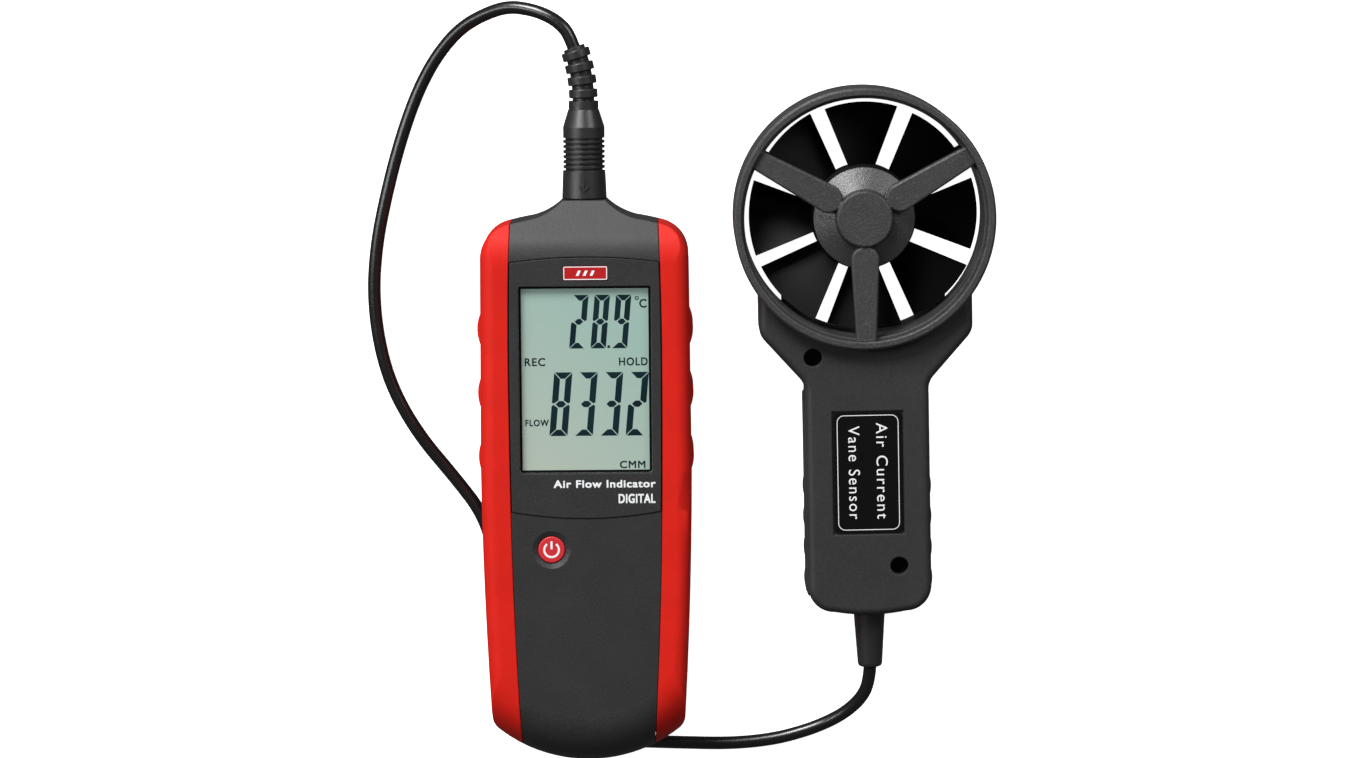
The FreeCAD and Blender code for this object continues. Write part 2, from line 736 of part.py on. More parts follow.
def power_button():
    """Cap with a low dome, a collar that keeps it in the case, and a stem."""
    centre = (BUTTON_X, BUTTON_Y)
    cap = rod_z(BUTTON_RADIUS, centre, BUTTON_CAP_Z)
    cap = cap.makeFillet(BUTTON_CAP_ROUND, flat_edges(cap, BUTTON_CAP_Z[1]))
    collar = rod_z(BUTTON_RADIUS + 1.0, centre, BUTTON_COLLAR_Z)
    stem = rod_z(BUTTON_STEM_RADIUS, centre, BUTTON_STEM_Z)
    return fused([cap, collar, stem])


def display_bezel():
    top = FACE_Z + BEZEL_PROUD
    plate = bezel_prism(SEAM_GAP, (FACE_Z - BEZEL_THICKNESS, top))
    window_x = (-WINDOW_HALF_WIDTH, WINDOW_HALF_WIDTH)
    window = rounded_box(window_x, (WINDOW_LOW_Y, WINDOW_HIGH_Y), (BOARD_Z, AROUND_Z[1]), WINDOW_CORNER)
    badge_bed = centred_box(BADGE_PLACE, BADGE_SIZE, (top - BADGE_DEPTH, AROUND_Z[1]))
    return plate.cut(window).cut(badge_bed)


def lcd_window():
    fit = 0.1
    x_range = (-WINDOW_HALF_WIDTH + fit, WINDOW_HALF_WIDTH - fit)
    y_range = (WINDOW_LOW_Y + fit, WINDOW_HIGH_Y - fit)
    low = FACE_Z - BEZEL_THICKNESS + LENS_LIFT
    return rounded_box(x_range, y_range, (low, low + LENS_THICKNESS), WINDOW_CORNER)


def lcd_panel():
    top = FACE_Z - BEZEL_THICKNESS - 0.05
    y_range = (WINDOW_LOW_Y - GLASS_OVERLAP_Y, WINDOW_HIGH_Y + GLASS_OVERLAP_Y)
    return box((-GLASS_HALF_WIDTH, GLASS_HALF_WIDTH), y_range, (top - GLASS_THICKNESS, top))


def backlight_guide():
    top = FACE_Z - BEZEL_THICKNESS - GLASS_THICKNESS - 0.1
    y_range = (WINDOW_LOW_Y + GUIDE_INSET_Y, WINDOW_HIGH_Y - GUIDE_INSET_Y)
    return box((-GUIDE_HALF_WIDTH, GUIDE_HALF_WIDTH), y_range, (top - GUIDE_THICKNESS, top))


def zebra_strips():
    top = FACE_Z - BEZEL_THICKNESS - GLASS_THICKNESS - 0.05
    z_range = (BOARD_Z + BOARD_THICKNESS, top)
    return group([centred_box((0, y), STRIP_SIZE, z_range) for y in STRIP_PLACES_Y])


def badge():
    top = FACE_Z + BEZEL_PROUD
    fit = 0.1
    size = (BADGE_SIZE[0] - fit, BADGE_SIZE[1] - fit)
    return centred_box(BADGE_PLACE, size, (top - BADGE_DEPTH, top + BADGE_PROUD))


def battery_walls():
    """Low walls in the rear case that keep the battery in place."""
    outer_half = BATTERY_ROOM_HALF_WIDTH + BATTERY_SIDE_WALL
    outer_y = (BATTERY_ROOM_Y[0] - BATTERY_END_WALL, BATTERY_ROOM_Y[1] + BATTERY_END_WALL)
    return box((-outer_half, outer_half), outer_y, BATTERY_WALL_Z).cut(battery_room(AROUND_Z))


def battery_room(z_range):
    return box((-BATTERY_ROOM_HALF_WIDTH, BATTERY_ROOM_HALF_WIDTH), BATTERY_ROOM_Y, z_range)


def belly(inset, z_range):
    x_range = (-BELLY_HALF_WIDTH + inset, BELLY_HALF_WIDTH - inset)
    y_range = (BELLY_LOW_Y + inset, BELLY_HIGH_Y - inset)
    return rounded_box(x_range, y_range, z_range, BELLY_CORNER - inset)


def belly_shell():
    block = belly(0, (0, REAR_Z + 2))
    bottom_rim = [edge for edge in block.Edges if edge.BoundBox.ZMax < 0.01]
    return block.makeFillet(BELLY_RIM_ROUND, bottom_rim)


def door_outline(gap, z_range):
    x_range = (-DOOR_HALF_WIDTH - gap, DOOR_HALF_WIDTH + gap)
    return rounded_box(x_range, (DOOR_LOW_Y - gap, DOOR_HIGH_Y + gap), z_range, DOOR_CORNER)


def stand_pocket():
    """Recess for the folded stand, with a deeper place for its barrel."""
    plate_x = (-STAND_HALF_WIDTH - STAND_GAP, STAND_HALF_WIDTH + STAND_GAP)
    plate = box(plate_x, (STAND_LOW_Y - 3.5, STAND_AXIS_Y), (-1, 2.5))
    barrel = box(plate_x, (STAND_AXIS_Y - 4, STAND_AXIS_Y + 2.8), (-1, STAND_AXIS_Z + 2.7))
    return plate.fuse(barrel)


def rear_case():
    inset = GRIP_THICKNESS + WALL
    shell = fused([below(case_block(), PARTING_Z), belly_shell()])
    cavity = below(meter_form(inset, WALL), PARTING_Z + 1)
    over_door = battery_room((DOOR_THICKNESS + DOOR_RECESS + 1.5, AROUND_Z[1]))
    stand_room = belly(WALL, (STAND_ROOM_LOW_Z, BELLY_ROOM_TOP_Z))
    stand_room = stand_room.common(box(AROUND_X, STAND_ROOM_Y, AROUND_Z))
    side_rooms = belly(WALL, (SIDE_ROOM_LOW_Z, BELLY_ROOM_TOP_Z))
    side_rooms = side_rooms.common(box(AROUND_X, (AROUND_Y[0], SIDE_ROOM_HIGH_Y), AROUND_Z))
    half_between = BATTERY_ROOM_HALF_WIDTH + BATTERY_SIDE_WALL
    side_rooms = side_rooms.cut(box((-half_between, half_between), (AROUND_Y[0], 90), AROUND_Z))
    shell = shell.cut(cavity).cut(over_door).cut(stand_room).cut(side_rooms)
    bosses = case_bosses((REAR_Z, PARTING_Z), CASE_BOSS_RADIUS)
    bush_boss = rod_z(BUSH_RADIUS + BUSH_WALL, (0, BUSH_Y), (3, BUSH_TOP_Z + 1.5))
    shell = fused([shell, battery_walls(), bush_boss] + bosses)
    shell = shell.cut(door_outline(DOOR_GAP, (-1, DOOR_THICKNESS + DOOR_RECESS)))
    ledge_x = (-DOOR_HALF_WIDTH + DOOR_LEDGE, DOOR_HALF_WIDTH - DOOR_LEDGE)
    shell = shell.cut(box(ledge_x, (BATTERY_ROOM_Y[0], DOOR_HIGH_Y - DOOR_LEDGE), (-1, 5)))
    shell = shell.cut(rod_z(1.3, (0, DOOR_SCREW_Y), (-1, 7.5)))
    shell = shell.cut(group(case_bosses((5, PARTING_Z + 1), CASE_SCREW_HOLE_RADIUS)))
    shell = shell.cut(group(case_bosses((5, CASE_SCREW_HEAD_Z[1]), CASE_SCREW_WELL_RADIUS)))
    shell = shell.cut(rod_z(BUSH_RADIUS, (0, BUSH_Y), (-1, BUSH_TOP_Z)))
    shell = shell.cut(stand_pocket())
    shell = shell.cut(stand_rod(STAND_PIN_RADIUS, STAND_PIN_REACH))
    return shell.cut(rod_y(JACK_RADIUS, (JACK_BACK_Y - 3, AROUND_Y[1])))


def stand_rod(radius, reach):
    ends = [(x, STAND_AXIS_Y, STAND_AXIS_Z) for x in (-reach, reach)]
    return rod_between(radius, ends[0], ends[1])


def tilt_stand():
    """Plate with a barrel at its hinge end and a finger notch at its free end."""
    x_range = (-STAND_HALF_WIDTH, STAND_HALF_WIDTH)
    plate = rounded_box(x_range, (STAND_LOW_Y, STAND_AXIS_Y), STAND_PLATE_Z, STAND_CORNER)
    window_x = (-STAND_WINDOW_HALF_WIDTH, STAND_WINDOW_HALF_WIDTH)
    window_y = (STAND_LOW_Y + 15, STAND_AXIS_Y - 16)
    window = rounded_box(window_x, window_y, (0, 5), STAND_WINDOW_CORNER)
    notch = rod_z(STAND_NOTCH_RADIUS, (0, STAND_LOW_Y - 2.2), (0, 5))
    barrel = stand_rod(STAND_BARREL_RADIUS, STAND_HALF_WIDTH)
    body = fused([plate.cut(window).cut(notch), barrel])
    return body.cut(stand_rod(STAND_PIN_RADIUS + RUNNING_CLEARANCE, STAND_HALF_WIDTH + 1))


def battery_door():
    z_range = (DOOR_RECESS, DOOR_RECESS + DOOR_THICKNESS - 0.05)
    plate = door_outline(0, z_range)
    for groove in range(DOOR_GROOVE_COUNT):
        y = DOOR_GROOVE_FIRST_Y + DOOR_GROOVE_PITCH * groove
        plate = plate.cut(centred_box((0, y), DOOR_GROOVE_SIZE, (-1, DOOR_RECESS + DOOR_GROOVE_DEPTH)))
    centre = (0, DOOR_SCREW_Y)
    well = rod_z(DOOR_SCREW_HEAD_RADIUS + 0.2, centre, (-1, DOOR_RECESS + DOOR_SCREW_HEAD_HEIGHT + 0.1))
    return plate.cut(well).cut(rod_z(DOOR_SCREW_RADIUS + 0.25, centre, (-1, 5)))


def screw(place, head_radius, head_z, shaft_radius, tip_z):
    """Screw along Z. The head stands on the side that tip_z points away from."""
    towards = 1 if tip_z > head_z[1] else -1
    outer = head_z[0] if towards > 0 else head_z[1]
    shaft_from = head_z[1] if towards > 0 else head_z[0]
    shaft = rod_z(shaft_radius, place, sorted((shaft_from, tip_z)))
    head = rod_z(head_radius, place, head_z)
    slot_depth = 0.45 * (head_z[1] - head_z[0])
    slot_z = sorted((outer - 0.1 * towards, outer + slot_depth * towards))
    for size in ((head_radius * 1.2, head_radius * 0.28), (head_radius * 0.28, head_radius * 1.2)):
        head = head.cut(centred_box(place, size, slot_z))
    return head.fuse(shaft).removeSplitter()


def case_screws():
    solids = []
    for place in CASE_SCREW_PLACES:
        head = (CASE_SCREW_HEAD_RADIUS, CASE_SCREW_HEAD_Z)
        solids.append(screw(place, head[0], head[1], CASE_SCREW_RADIUS, CASE_SCREW_TIP_Z))
    return group(solids)


def board_screws():
    head_radius, head_height = BOARD_SCREW_HEAD
    head_z = (BOARD_Z - head_height, BOARD_Z)
    tip = BOARD_Z + BOARD_THICKNESS + BOARD_SCREW_LENGTH
    screws = [screw(place, head_radius, head_z, BOARD_SCREW_RADIUS, tip) for place in BOARD_SCREW_PLACES]
    return group(screws)


def door_screw():
    z_low = DOOR_RECESS + 0.05
    head_z = (z_low, z_low + DOOR_SCREW_HEAD_HEIGHT)
    place = (0, DOOR_SCREW_Y)
    return screw(place, DOOR_SCREW_HEAD_RADIUS, head_z, DOOR_SCREW_RADIUS, DOOR_SCREW_TIP_Z)


def tripod_bush():
    body = rod_z(BUSH_RADIUS, (0, BUSH_Y), (0.4, BUSH_TOP_Z))
    return body.cut(rod_z(TRIPOD_BORE_RADIUS, (0, BUSH_Y), (-1, BUSH_TOP_Z - BUSH_FLOOR)))


# ---------------------------------------------------------------- inside the meter

def main_board():
    z_range = (BOARD_Z, BOARD_Z + BOARD_THICKNESS)
    board = rounded_box((-BOARD_HALF_WIDTH, BOARD_HALF_WIDTH), BOARD_Y, z_range, BOARD_CORNER)
    holes = [rod_z(BOARD_HOLE_RADIUS, place, AROUND_Z) for place in BOARD_SCREW_PLACES]
    return board.cut(group(holes))


def board_components():
    """Chips, a crystal, connectors and capacitors on the back of the board."""
    low = BOARD_Z
    chips = [((0, 130), (14, 14), 2.0), ((-13, 116), (8, 6), 1.6), ((13, 118), (9, 6), 1.8)]
    chips += [((14, 146), (10, 4), 3.0), ((-14, 146), (6, 9), 1.4), ((0, 155), (12, 3), 2.6)]
    chips += [((-8, 172), (12, 5), 3.0), ((12, 102), (5, 8), 2.2)]
    solids = [centred_box(place, size, (low - tall, low)) for place, size, tall in chips]
    for place in ((-15, 128), (15, 134), (-15, 134)):
        solids.append(rod_z(2.2, place, (low - 3.6, low)))
    return group(solids)


def buzzer():
    z_low = BOARD_Z + BOARD_THICKNESS
    top = z_low + BUZZER_HEIGHT
    port_radius, port_depth = BUZZER_PORT
    port = rod_z(port_radius, BUZZER_PLACE, (top - port_depth, top + 1))
    return rod_z(BUZZER_RADIUS, BUZZER_PLACE, (z_low, top)).cut(port)


def tactile_switch():
    z_low = BOARD_Z + BOARD_THICKNESS
    centre = (BUTTON_X, BUTTON_Y)
    body = centred_box(centre, SWITCH_SIZE, (z_low, z_low + SWITCH_HEIGHT))
    return body.fuse(rod_z(SWITCH_STEM_RADIUS, centre, (z_low + SWITCH_HEIGHT - 0.2, SWITCH_TOP_Z)))


def battery_9v():
    width, length, height = BATTERY
    y_range = (BATTERY_LOW_Y, BATTERY_LOW_Y + length)
    z_range = (BATTERY_LOW_Z, BATTERY_LOW_Z + height)
    case = box((-width / 2, width / 2), y_range, z_range)
    case = case.makeFillet(BATTERY_ROUND, [e for e in case.Edges if e.BoundBox.YLength > length - 1])
    stud_y = (y_range[1] - 0.5, y_range[1] + 1.2)
    stud_z = BATTERY_LOW_Z + height / 2
    studs = [rod_y(STUD_RADIUS, stud_y, x, stud_z) for x in STUD_PLACES_X]
    return fused([case] + studs)


def battery_snap():
    low_y = BATTERY_LOW_Y + BATTERY[1] + 0.1
    middle_z = BATTERY_LOW_Z + BATTERY[2] / 2
    far_y = low_y + SNAP_THICKNESS
    z_range = (middle_z - SNAP_HALF_HEIGHT, middle_z + SNAP_HALF_HEIGHT)
    plate = box((-SNAP_HALF_WIDTH, SNAP_HALF_WIDTH), (low_y, far_y), z_range)
    wells = [rod_y(STUD_RADIUS + 0.1, (low_y - 1, low_y + 1.5), x, middle_z) for x in STUD_PLACES_X]
    solids = [plate.cut(group(wells))]
    for x in (-4, 4):
        route = [(x, far_y, 15.5), (x, far_y + 1.0, 15.9), (x, far_y + 1.3, 21.0)]
        route += [(x * 1.2, far_y + 2.6, 23.4), (x * 1.4, far_y + 3.0, 25.7)]
        solids.append(bent_rod(route, SNAP_LEAD_RADIUS)[0])
    return group(solids)


def input_jack():
    """Round socket in the nose, with a deep annular slot for the plug's shield."""
    body = rod_y(JACK_RADIUS - 0.02, (JACK_BACK_Y, JACK_FRONT_Y))
    slot_y = (METER_LENGTH - SHIELD_DEPTH - 1.0, METER_LENGTH + 1)
    slot = rod_y(SHIELD_RADIUS + RUNNING_CLEARANCE, slot_y)
    core = rod_y(SHIELD_INNER_RADIUS - 0.3, (slot_y[0], METER_LENGTH - 1.6))
    body = body.cut(slot.cut(core))
    holes = [rod_y(PIN_RADIUS + RUNNING_CLEARANCE, slot_y, x, z) for x, z in pin_places()]
    lead_y = (JACK_BACK_Y - 4, JACK_BACK_Y + 0.5)
    leads = [rod_y(JACK_LEAD_RADIUS, lead_y, x, z) for x, z in pin_places()]
    return fused([body.cut(group(holes))] + leads)


def pin_places():
    places = []
    for angle in (45, 135, 225, 315):
        turn = math.radians(angle)
        places.append((PIN_CIRCLE * math.cos(turn), PARTING_Z + PIN_CIRCLE * math.sin(turn)))
    return places


# ---------------------------------------------------------------- plug

def plug_body():
    """Turned plastic body: base, grooved grip, cone and collar."""
    rib_pitch = PLUG_RIBS_LENGTH / PLUG_RIB_COUNT
    groove_radius = PLUG_RADIUS - PLUG_GROOVE_DEPTH
    profile = [(PLUG_Y, PLUG_BASE_RADIUS - 0.4), (PLUG_Y + 0.4, PLUG_BASE_RADIUS)]
    profile.append((PLUG_RIBS_Y, PLUG_RADIUS + 0.15))
    for rib in range(PLUG_RIB_COUNT):
        start = PLUG_RIBS_Y + rib * rib_pitch
        profile.append((start + 0.15, groove_radius))
        profile.append((start + 0.75, groove_radius))
        profile.append((start + 0.9, PLUG_RADIUS))
        profile.append((start + rib_pitch, PLUG_RADIUS))
    profile.append((PLUG_CONE_Y, PLUG_RADIUS))
    profile.append((PLUG_COLLAR_Y, PLUG_COLLAR_RADIUS + 0.2))
    profile.append((PLUG_COLLAR_Y, PLUG_COLLAR_RADIUS))
    profile.append((PLUG_END_Y, PLUG_COLLAR_RADIUS))
    body = turned_y(profile)
    seat = rod_y(SHIELD_RADIUS, (PLUG_Y - 1, PLUG_Y + PLUG_SEAT_DEPTH))
    insert_room = rod_y(SHIELD_INNER_RADIUS, (PLUG_Y, PLUG_Y + PLUG_INSERT_DEPTH))
    cord_room = rod_y(CORD_RADIUS, (PLUG_END_Y - PLUG_CORD_GRIP, PLUG_END_Y + 1))
    return body.cut(seat).cut(insert_room).cut(cord_room)


def plug_shield():
    y_range = (METER_LENGTH - SHIELD_DEPTH, PLUG_Y + PLUG_SEAT_DEPTH)
    sleeve = rod_y(SHIELD_RADIUS, y_range)
    bore = rod_y(SHIELD_INNER_RADIUS, (y_range[0] - 1, y_range[1] + 1))
    key = box((-0.6, 0.6), (y_range[0] - 1, y_range[0] + 4), (PARTING_Z + 3, PARTING_Z + 6))
    return sleeve.cut(bore).cut(key)


def plug_insert():
    body = rod_y(SHIELD_INNER_RADIUS, (PLUG_Y - 0.9, PLUG_Y + PLUG_INSERT_DEPTH))
    hole_y = (PLUG_Y - 2, PLUG_Y + PLUG_SEAT_DEPTH)
    holes = [rod_y(PIN_RADIUS, hole_y, x, z) for x, z in pin_places()]
    return body.cut(group(holes))


def plug_pins():
    y_range = (METER_LENGTH - SHIELD_DEPTH + 0.8, PLUG_Y + PLUG_SEAT_DEPTH)
    return group([rod_y(PIN_RADIUS, y_range, x, z) for x, z in pin_places()])


def relief_placement(along):
    """Place and direction at a distance along the plug's bent relief."""
    turn = along / RELIEF_BEND_RADIUS
    x = -RELIEF_BEND_RADIUS * (1 - math.cos(turn))
    y = PLUG_END_Y + RELIEF_BEND_RADIUS * math.sin(turn)
    return Vector(x, y, PARTING_Z), Vector(-math.sin(turn), math.cos(turn), 0)


def relief_length():
    return RELIEF_RIBS_FROM + RELIEF_RIB_PITCH * (RELIEF_RIB_COUNT - 1) + RELIEF_TAIL


def plug_relief():
    """Bendy relief: a slim sleeve round the cord, with four cut collars along it."""
    end = relief_length()
    ends = [relief_placement(along)[0] for along in (0, end / 2, end)]
    spine = Part.Wire([Part.Arc(ends[0], ends[1], ends[2]).toShape()])
    section = Part.Wire(Part.makeCircle(RELIEF_SLEEVE_RADIUS, ends[0], Vector(0, 1, 0)))
    sleeve = spine.makePipeShell([section], True, False)
    pieces = [sleeve]
    for rib in range(RELIEF_RIB_COUNT):
        middle, direction = relief_placement(RELIEF_RIBS_FROM + RELIEF_RIB_PITCH * rib)
        start = middle.sub(Vector(direction).multiply(RELIEF_RIB_HALF))
        disc = Part.makeCylinder(RELIEF_RIB_RADIUS, 2 * RELIEF_RIB_HALF, start, direction)
        pieces.append(disc.makeFillet(RELIEF_RIB_ROUND, [e for e in disc.Edges if e.Closed]))
    return fused(pieces)


# ---------------------------------------------------------------- probe handle

def handle_outline(half_width, corner, end_y):
    """Outline of a handle shell, from under the ring down to the bowed end."""
    foot_y = end_y + HANDLE_BOW
    right = [(SHOULDER_HALF_WIDTH, HANDLE_TOP_Y), (SHOULDER_HALF_WIDTH, SHOULDER_Y)]
    right += [(half_width, NECK_Y), (half_width, foot_y + corner)]
    edges = [line(mirrored_x(right)[-1] + (0,), right[0] + (0,))]
    for side in (1, -1):
        flank = [(side * x, y, 0) for x, y in right]
        edges += [line(flank[index], flank[index + 1]) for index in range(3)]
        foot = (side * (half_width - corner), foot_y, 0)
        slant = corner * (1 - math.sqrt(0.5))
        middle = (side * (half_width - slant), foot_y + slant, 0)
        edges.append(arc(flank[3], middle, foot))
    left_foot = (corner - half_width, foot_y, 0)
    right_foot = (half_width - corner, foot_y, 0)
    edges.append(arc(left_foot, (0, end_y, 0), right_foot))
    return edges


def handle_block(half_width, z_range):
    block = slab(handle_outline(half_width, HANDLE_CORNER, HANDLE_END_Y), z_range)
    shoulders = []
    necks = []
    for edge in upright_edges(block):
        point = edge.Vertexes[0].Point
        if abs(point.y - SHOULDER_Y) < 0.1:
            shoulders.append(edge)
        if abs(point.y - NECK_Y) < 0.1:
            necks.append(edge)
    return block.makeFillet(HANDLE_TURN_ROUND, shoulders + necks)


def rim_edges(block, z):
    """Edges round a flat end of a handle block, without the one under the ring."""
    found = []
    for edge in block.Edges:
        bounds = edge.BoundBox
        flat = abs(bounds.ZMin - z) < 0.01 and abs(bounds.ZMax - z) < 0.01
        if flat and bounds.YMin < HANDLE_TOP_Y - 1:
            found.append(edge)
    return found


def handle_cavity(half_width, z_range):
    edges = handle_outline(half_width - WALL, HANDLE_CORNER - WALL, HANDLE_END_Y + WALL)
    room = slab(edges, z_range)
    inner_side = SHOULDER_HALF_WIDTH - WALL - 1.5
    flanks = box((-inner_side, inner_side), (HANDLE_END_Y, -30), z_range)
    return room.common(flanks).cut(ring_room(WALL))


def ring_room(margin):
    return rod_z(RING_RADIUS + margin, (0, 0), (-5, 60))


def lug_room():
    """Way through a handle shell for the ring's lug."""
    half_width = LUG_HALF_WIDTH + LUG_GAP
    z_range = (LUG_Z[0] - LUG_GAP, LUG_Z[1] + LUG_GAP)
    return box((-half_width, half_width), (LUG_Y[0] - 1, LUG_Y[1]), z_range)


def relief_room():
    y_range = (HANDLE_END_Y - 5, HANDLE_END_Y + 6)
    return rod_y(PROBE_RELIEF_RADIUS + 0.1, y_range, 0, HANDLE_SEAM_Z)


def flange_room():
    y_range = (HANDLE_END_Y + FLANGE_FROM - 0.3, HANDLE_END_Y + FLANGE_TO + 0.3)
    return rod_y(FLANGE_RADIUS + 0.2, y_range, 0, HANDLE_SEAM_Z)


def probe_front_shell():
    half_width = HANDLE_HALF_WIDTH
    block = handle_block(half_width, (HANDLE_SEAM_Z, HANDLE_DEPTH))
    block = block.makeFillet(HANDLE_FRONT_ROUND, rim_edges(block, HANDLE_DEPTH))
    shell = block.cut(handle_cavity(half_width, (HANDLE_SEAM_Z - 1, HANDLE_DEPTH - WALL)))
    boss_z = (HANDLE_SEAM_Z, HANDLE_DEPTH - 1)
    bosses = [rod_z(PROBE_BOSS_RADIUS, place, boss_z) for place in PROBE_SCREW_PLACES]
    shell = fused([shell] + bosses).cut(ring_room(0))
    shell = shell.cut(centred_box((0, LABEL_Y), LABEL_RECESS[:2], (HANDLE_DEPTH - LABEL_RECESS[2], 30)))
    for place in PROBE_SCREW_PLACES:
        shell = shell.cut(rod_z(PROBE_SCREW_WELL_RADIUS, place, (PROBE_SCREW_HEAD_Z[0], 30)))
        shell = shell.cut(rod_z(PROBE_SCREW_HOLE_RADIUS, place, (5, 30)))
    return shell.cut(group([relief_room(), flange_room()])).cut(lug_room())


def probe_rear_shell():
    half_width = HANDLE_HALF_WIDTH
    z_range = (0, HANDLE_SEAM_Z)
    block = handle_block(half_width, z_range)
    block = block.makeFillet(HANDLE_BACK_ROUND, rim_edges(block, 0))
    pads = rounded_box((-PAD_HALF_WIDTH, PAD_HALF_WIDTH), PAD_Y, PAD_Z, PAD_CORNER)
    bumps = []
    for side in (-1, 1):
        centre_x = side * (PAD_HALF_WIDTH + PAD_BUMP_PROUD - BUMP_RADIUS)
        for bump_y in PAD_BUMP_PLACES_Y:
            bumps.append(rod_z(BUMP_RADIUS, (centre_x, bump_y), PAD_BUMP_Z))
    outer_half = PAD_HALF_WIDTH + 2
    between = box((-outer_half, outer_half), (-135, -60), (0, 20))
    block = fused([block, pads] + [bump.common(between) for bump in bumps])
    shell = block.cut(handle_cavity(half_width, (WALL, HANDLE_SEAM_Z + 1)))
    bosses = [rod_z(PROBE_BOSS_RADIUS, place, (1, HANDLE_SEAM_Z)) for place in PROBE_SCREW_PLACES]
    posts = [rod_z(1.8, place, (1, PROBE_BOARD_Z[0])) for place in probe_board_posts()]
    shell = fused([shell] + bosses + posts).cut(ring_room(0))
    for place in PROBE_SCREW_PLACES:
        shell = shell.cut(rod_z(PROBE_PILOT_RADIUS, place, (4, 30)))
    return shell.cut(group([relief_room(), flange_room()])).cut(lug_room())


def probe_board_posts():
    return [(-12, -72), (12, -72), (-12, -106), (12, -106)]


def probe_board():
    board = rounded_box((-15, 15), (-110, -68), PROBE_BOARD_Z, 1.5)
    chip = centred_box((0, -84), (10, 10), (8.0, 10.0))
    plug_block = centred_box((0, -104), (12, 5), (8.0, 12.0))
    return fused([board, chip, plug_block])


def sensor_leads():
    """Two leads from the ring's lug to the probe's board."""
    solids = []
    for x in (-3, 3):
        route = [(x, LUG_Y[0] - 0.2, WIRE_Z), (x, -63.0, WIRE_Z)]
        route += [(x * 1.3, -68.5, 11.6), (x * 1.5, -74.0, 8.8)]
        solids.append(bent_rod(route, 0.7)[0])
    return group(solids)


def probe_screws():
    solids = []
    for place in PROBE_SCREW_PLACES:
        head = (PROBE_SCREW_HEAD_RADIUS, PROBE_SCREW_HEAD_Z)
        solids.append(screw(place, head[0], head[1], PROBE_SCREW_RADIUS, PROBE_SCREW_TIP_Z))
    return group(solids)


def label_plate():
    size = (LABEL_RECESS[0] - 2 * LABEL_GAP, LABEL_RECESS[1] - 2 * LABEL_GAP)
    low = HANDLE_DEPTH - LABEL_RECESS[2]
    x_half = size[0] / 2
    y_range = (LABEL_Y - size[1] / 2, LABEL_Y + size[1] / 2)
    return rounded_box((-x_half, x_half), y_range, (low, low + LABEL_THICKNESS), 1.2)


def probe_relief():
    """Tapered rubber relief, with a flange held in the handle and a rounded tip."""
    start = HANDLE_END_Y + FLANGE_TO
    step = HANDLE_END_Y + FLANGE_FROM
    end = HANDLE_END_Y - PROBE_RELIEF_LENGTH + 0.2
    profile = [(start, FLANGE_RADIUS), (step, FLANGE_RADIUS), (step, PROBE_RELIEF_RADIUS)]
    profile.append((HANDLE_END_Y - 0.5, PROBE_RELIEF_RADIUS))
    profile += [(end + 1.2, 4.35), (end + 0.3, 4.0), (end, 3.3)]
    profile.reverse()
    return turned_y(profile, 0, HANDLE_SEAM_Z)


# ---------------------------------------------------------------- vane head

def vane_ring():
    """Round duct with a counterbore at each end, and a lug inside the handle."""
    profile = [(DUCT_RADIUS, BACK_SEAT_Z), (RIM_RADIUS, BACK_SEAT_Z), (RIM_RADIUS, 0.6)]
    profile += [(RIM_RADIUS + 0.6, 0), (RING_RADIUS - RING_LIP, 0), (RING_RADIUS, RING_LIP)]
    profile += [(RING_RADIUS, RING_DEPTH - RING_LIP), (RING_RADIUS - RING_LIP, RING_DEPTH)]
    profile += [(RIM_RADIUS + 0.3, RING_DEPTH), (RIM_RADIUS, RING_DEPTH - 0.3)]
    profile += [(RIM_RADIUS, FRONT_SEAT_Z), (DUCT_RADIUS, FRONT_SEAT_Z)]
    tube = turned_z(profile)
    lug = box((-LUG_HALF_WIDTH, LUG_HALF_WIDTH), LUG_Y, LUG_Z)
    lug = lug.cut(rod_z(RING_RADIUS - 1, (0, 0), (0, RING_DEPTH)))
    passage = rod_between(3.0, (0, LUG_Y[0] - 4, WIRE_Z), (0, -46.5, WIRE_Z))
    stem_hole = rod_between(BEAD_STEM_RADIUS + 0.1, (0, -47.0, BEAD_Z), (0, BEAD_Y + 1, BEAD_Z))
    return fused([tube, lug.cut(passage)]).cut(stem_hole)


def spoke(angle, z_range, inner_radius, widths, outer_radius):
    """Tapered spoke with a rounded inner end, turned to its angle."""
    inner_half = widths[0] / 2
    outer_half = widths[1] / 2
    tip = inner_radius - inner_half
    edges = [
        arc((inner_radius, -inner_half, 0), (tip, 0, 0), (inner_radius, inner_half, 0)),
        line((inner_radius, inner_half, 0), (outer_radius, outer_half, 0)),
        line((outer_radius, outer_half, 0), (outer_radius, -outer_half, 0)),
        line((outer_radius, -outer_half, 0), (inner_radius, -inner_half, 0)),
    ]
    bar = slab(edges, z_range)
    bar.rotate(Vector(0, 0, 0), Vector(0, 0, 1), angle)
    return bar


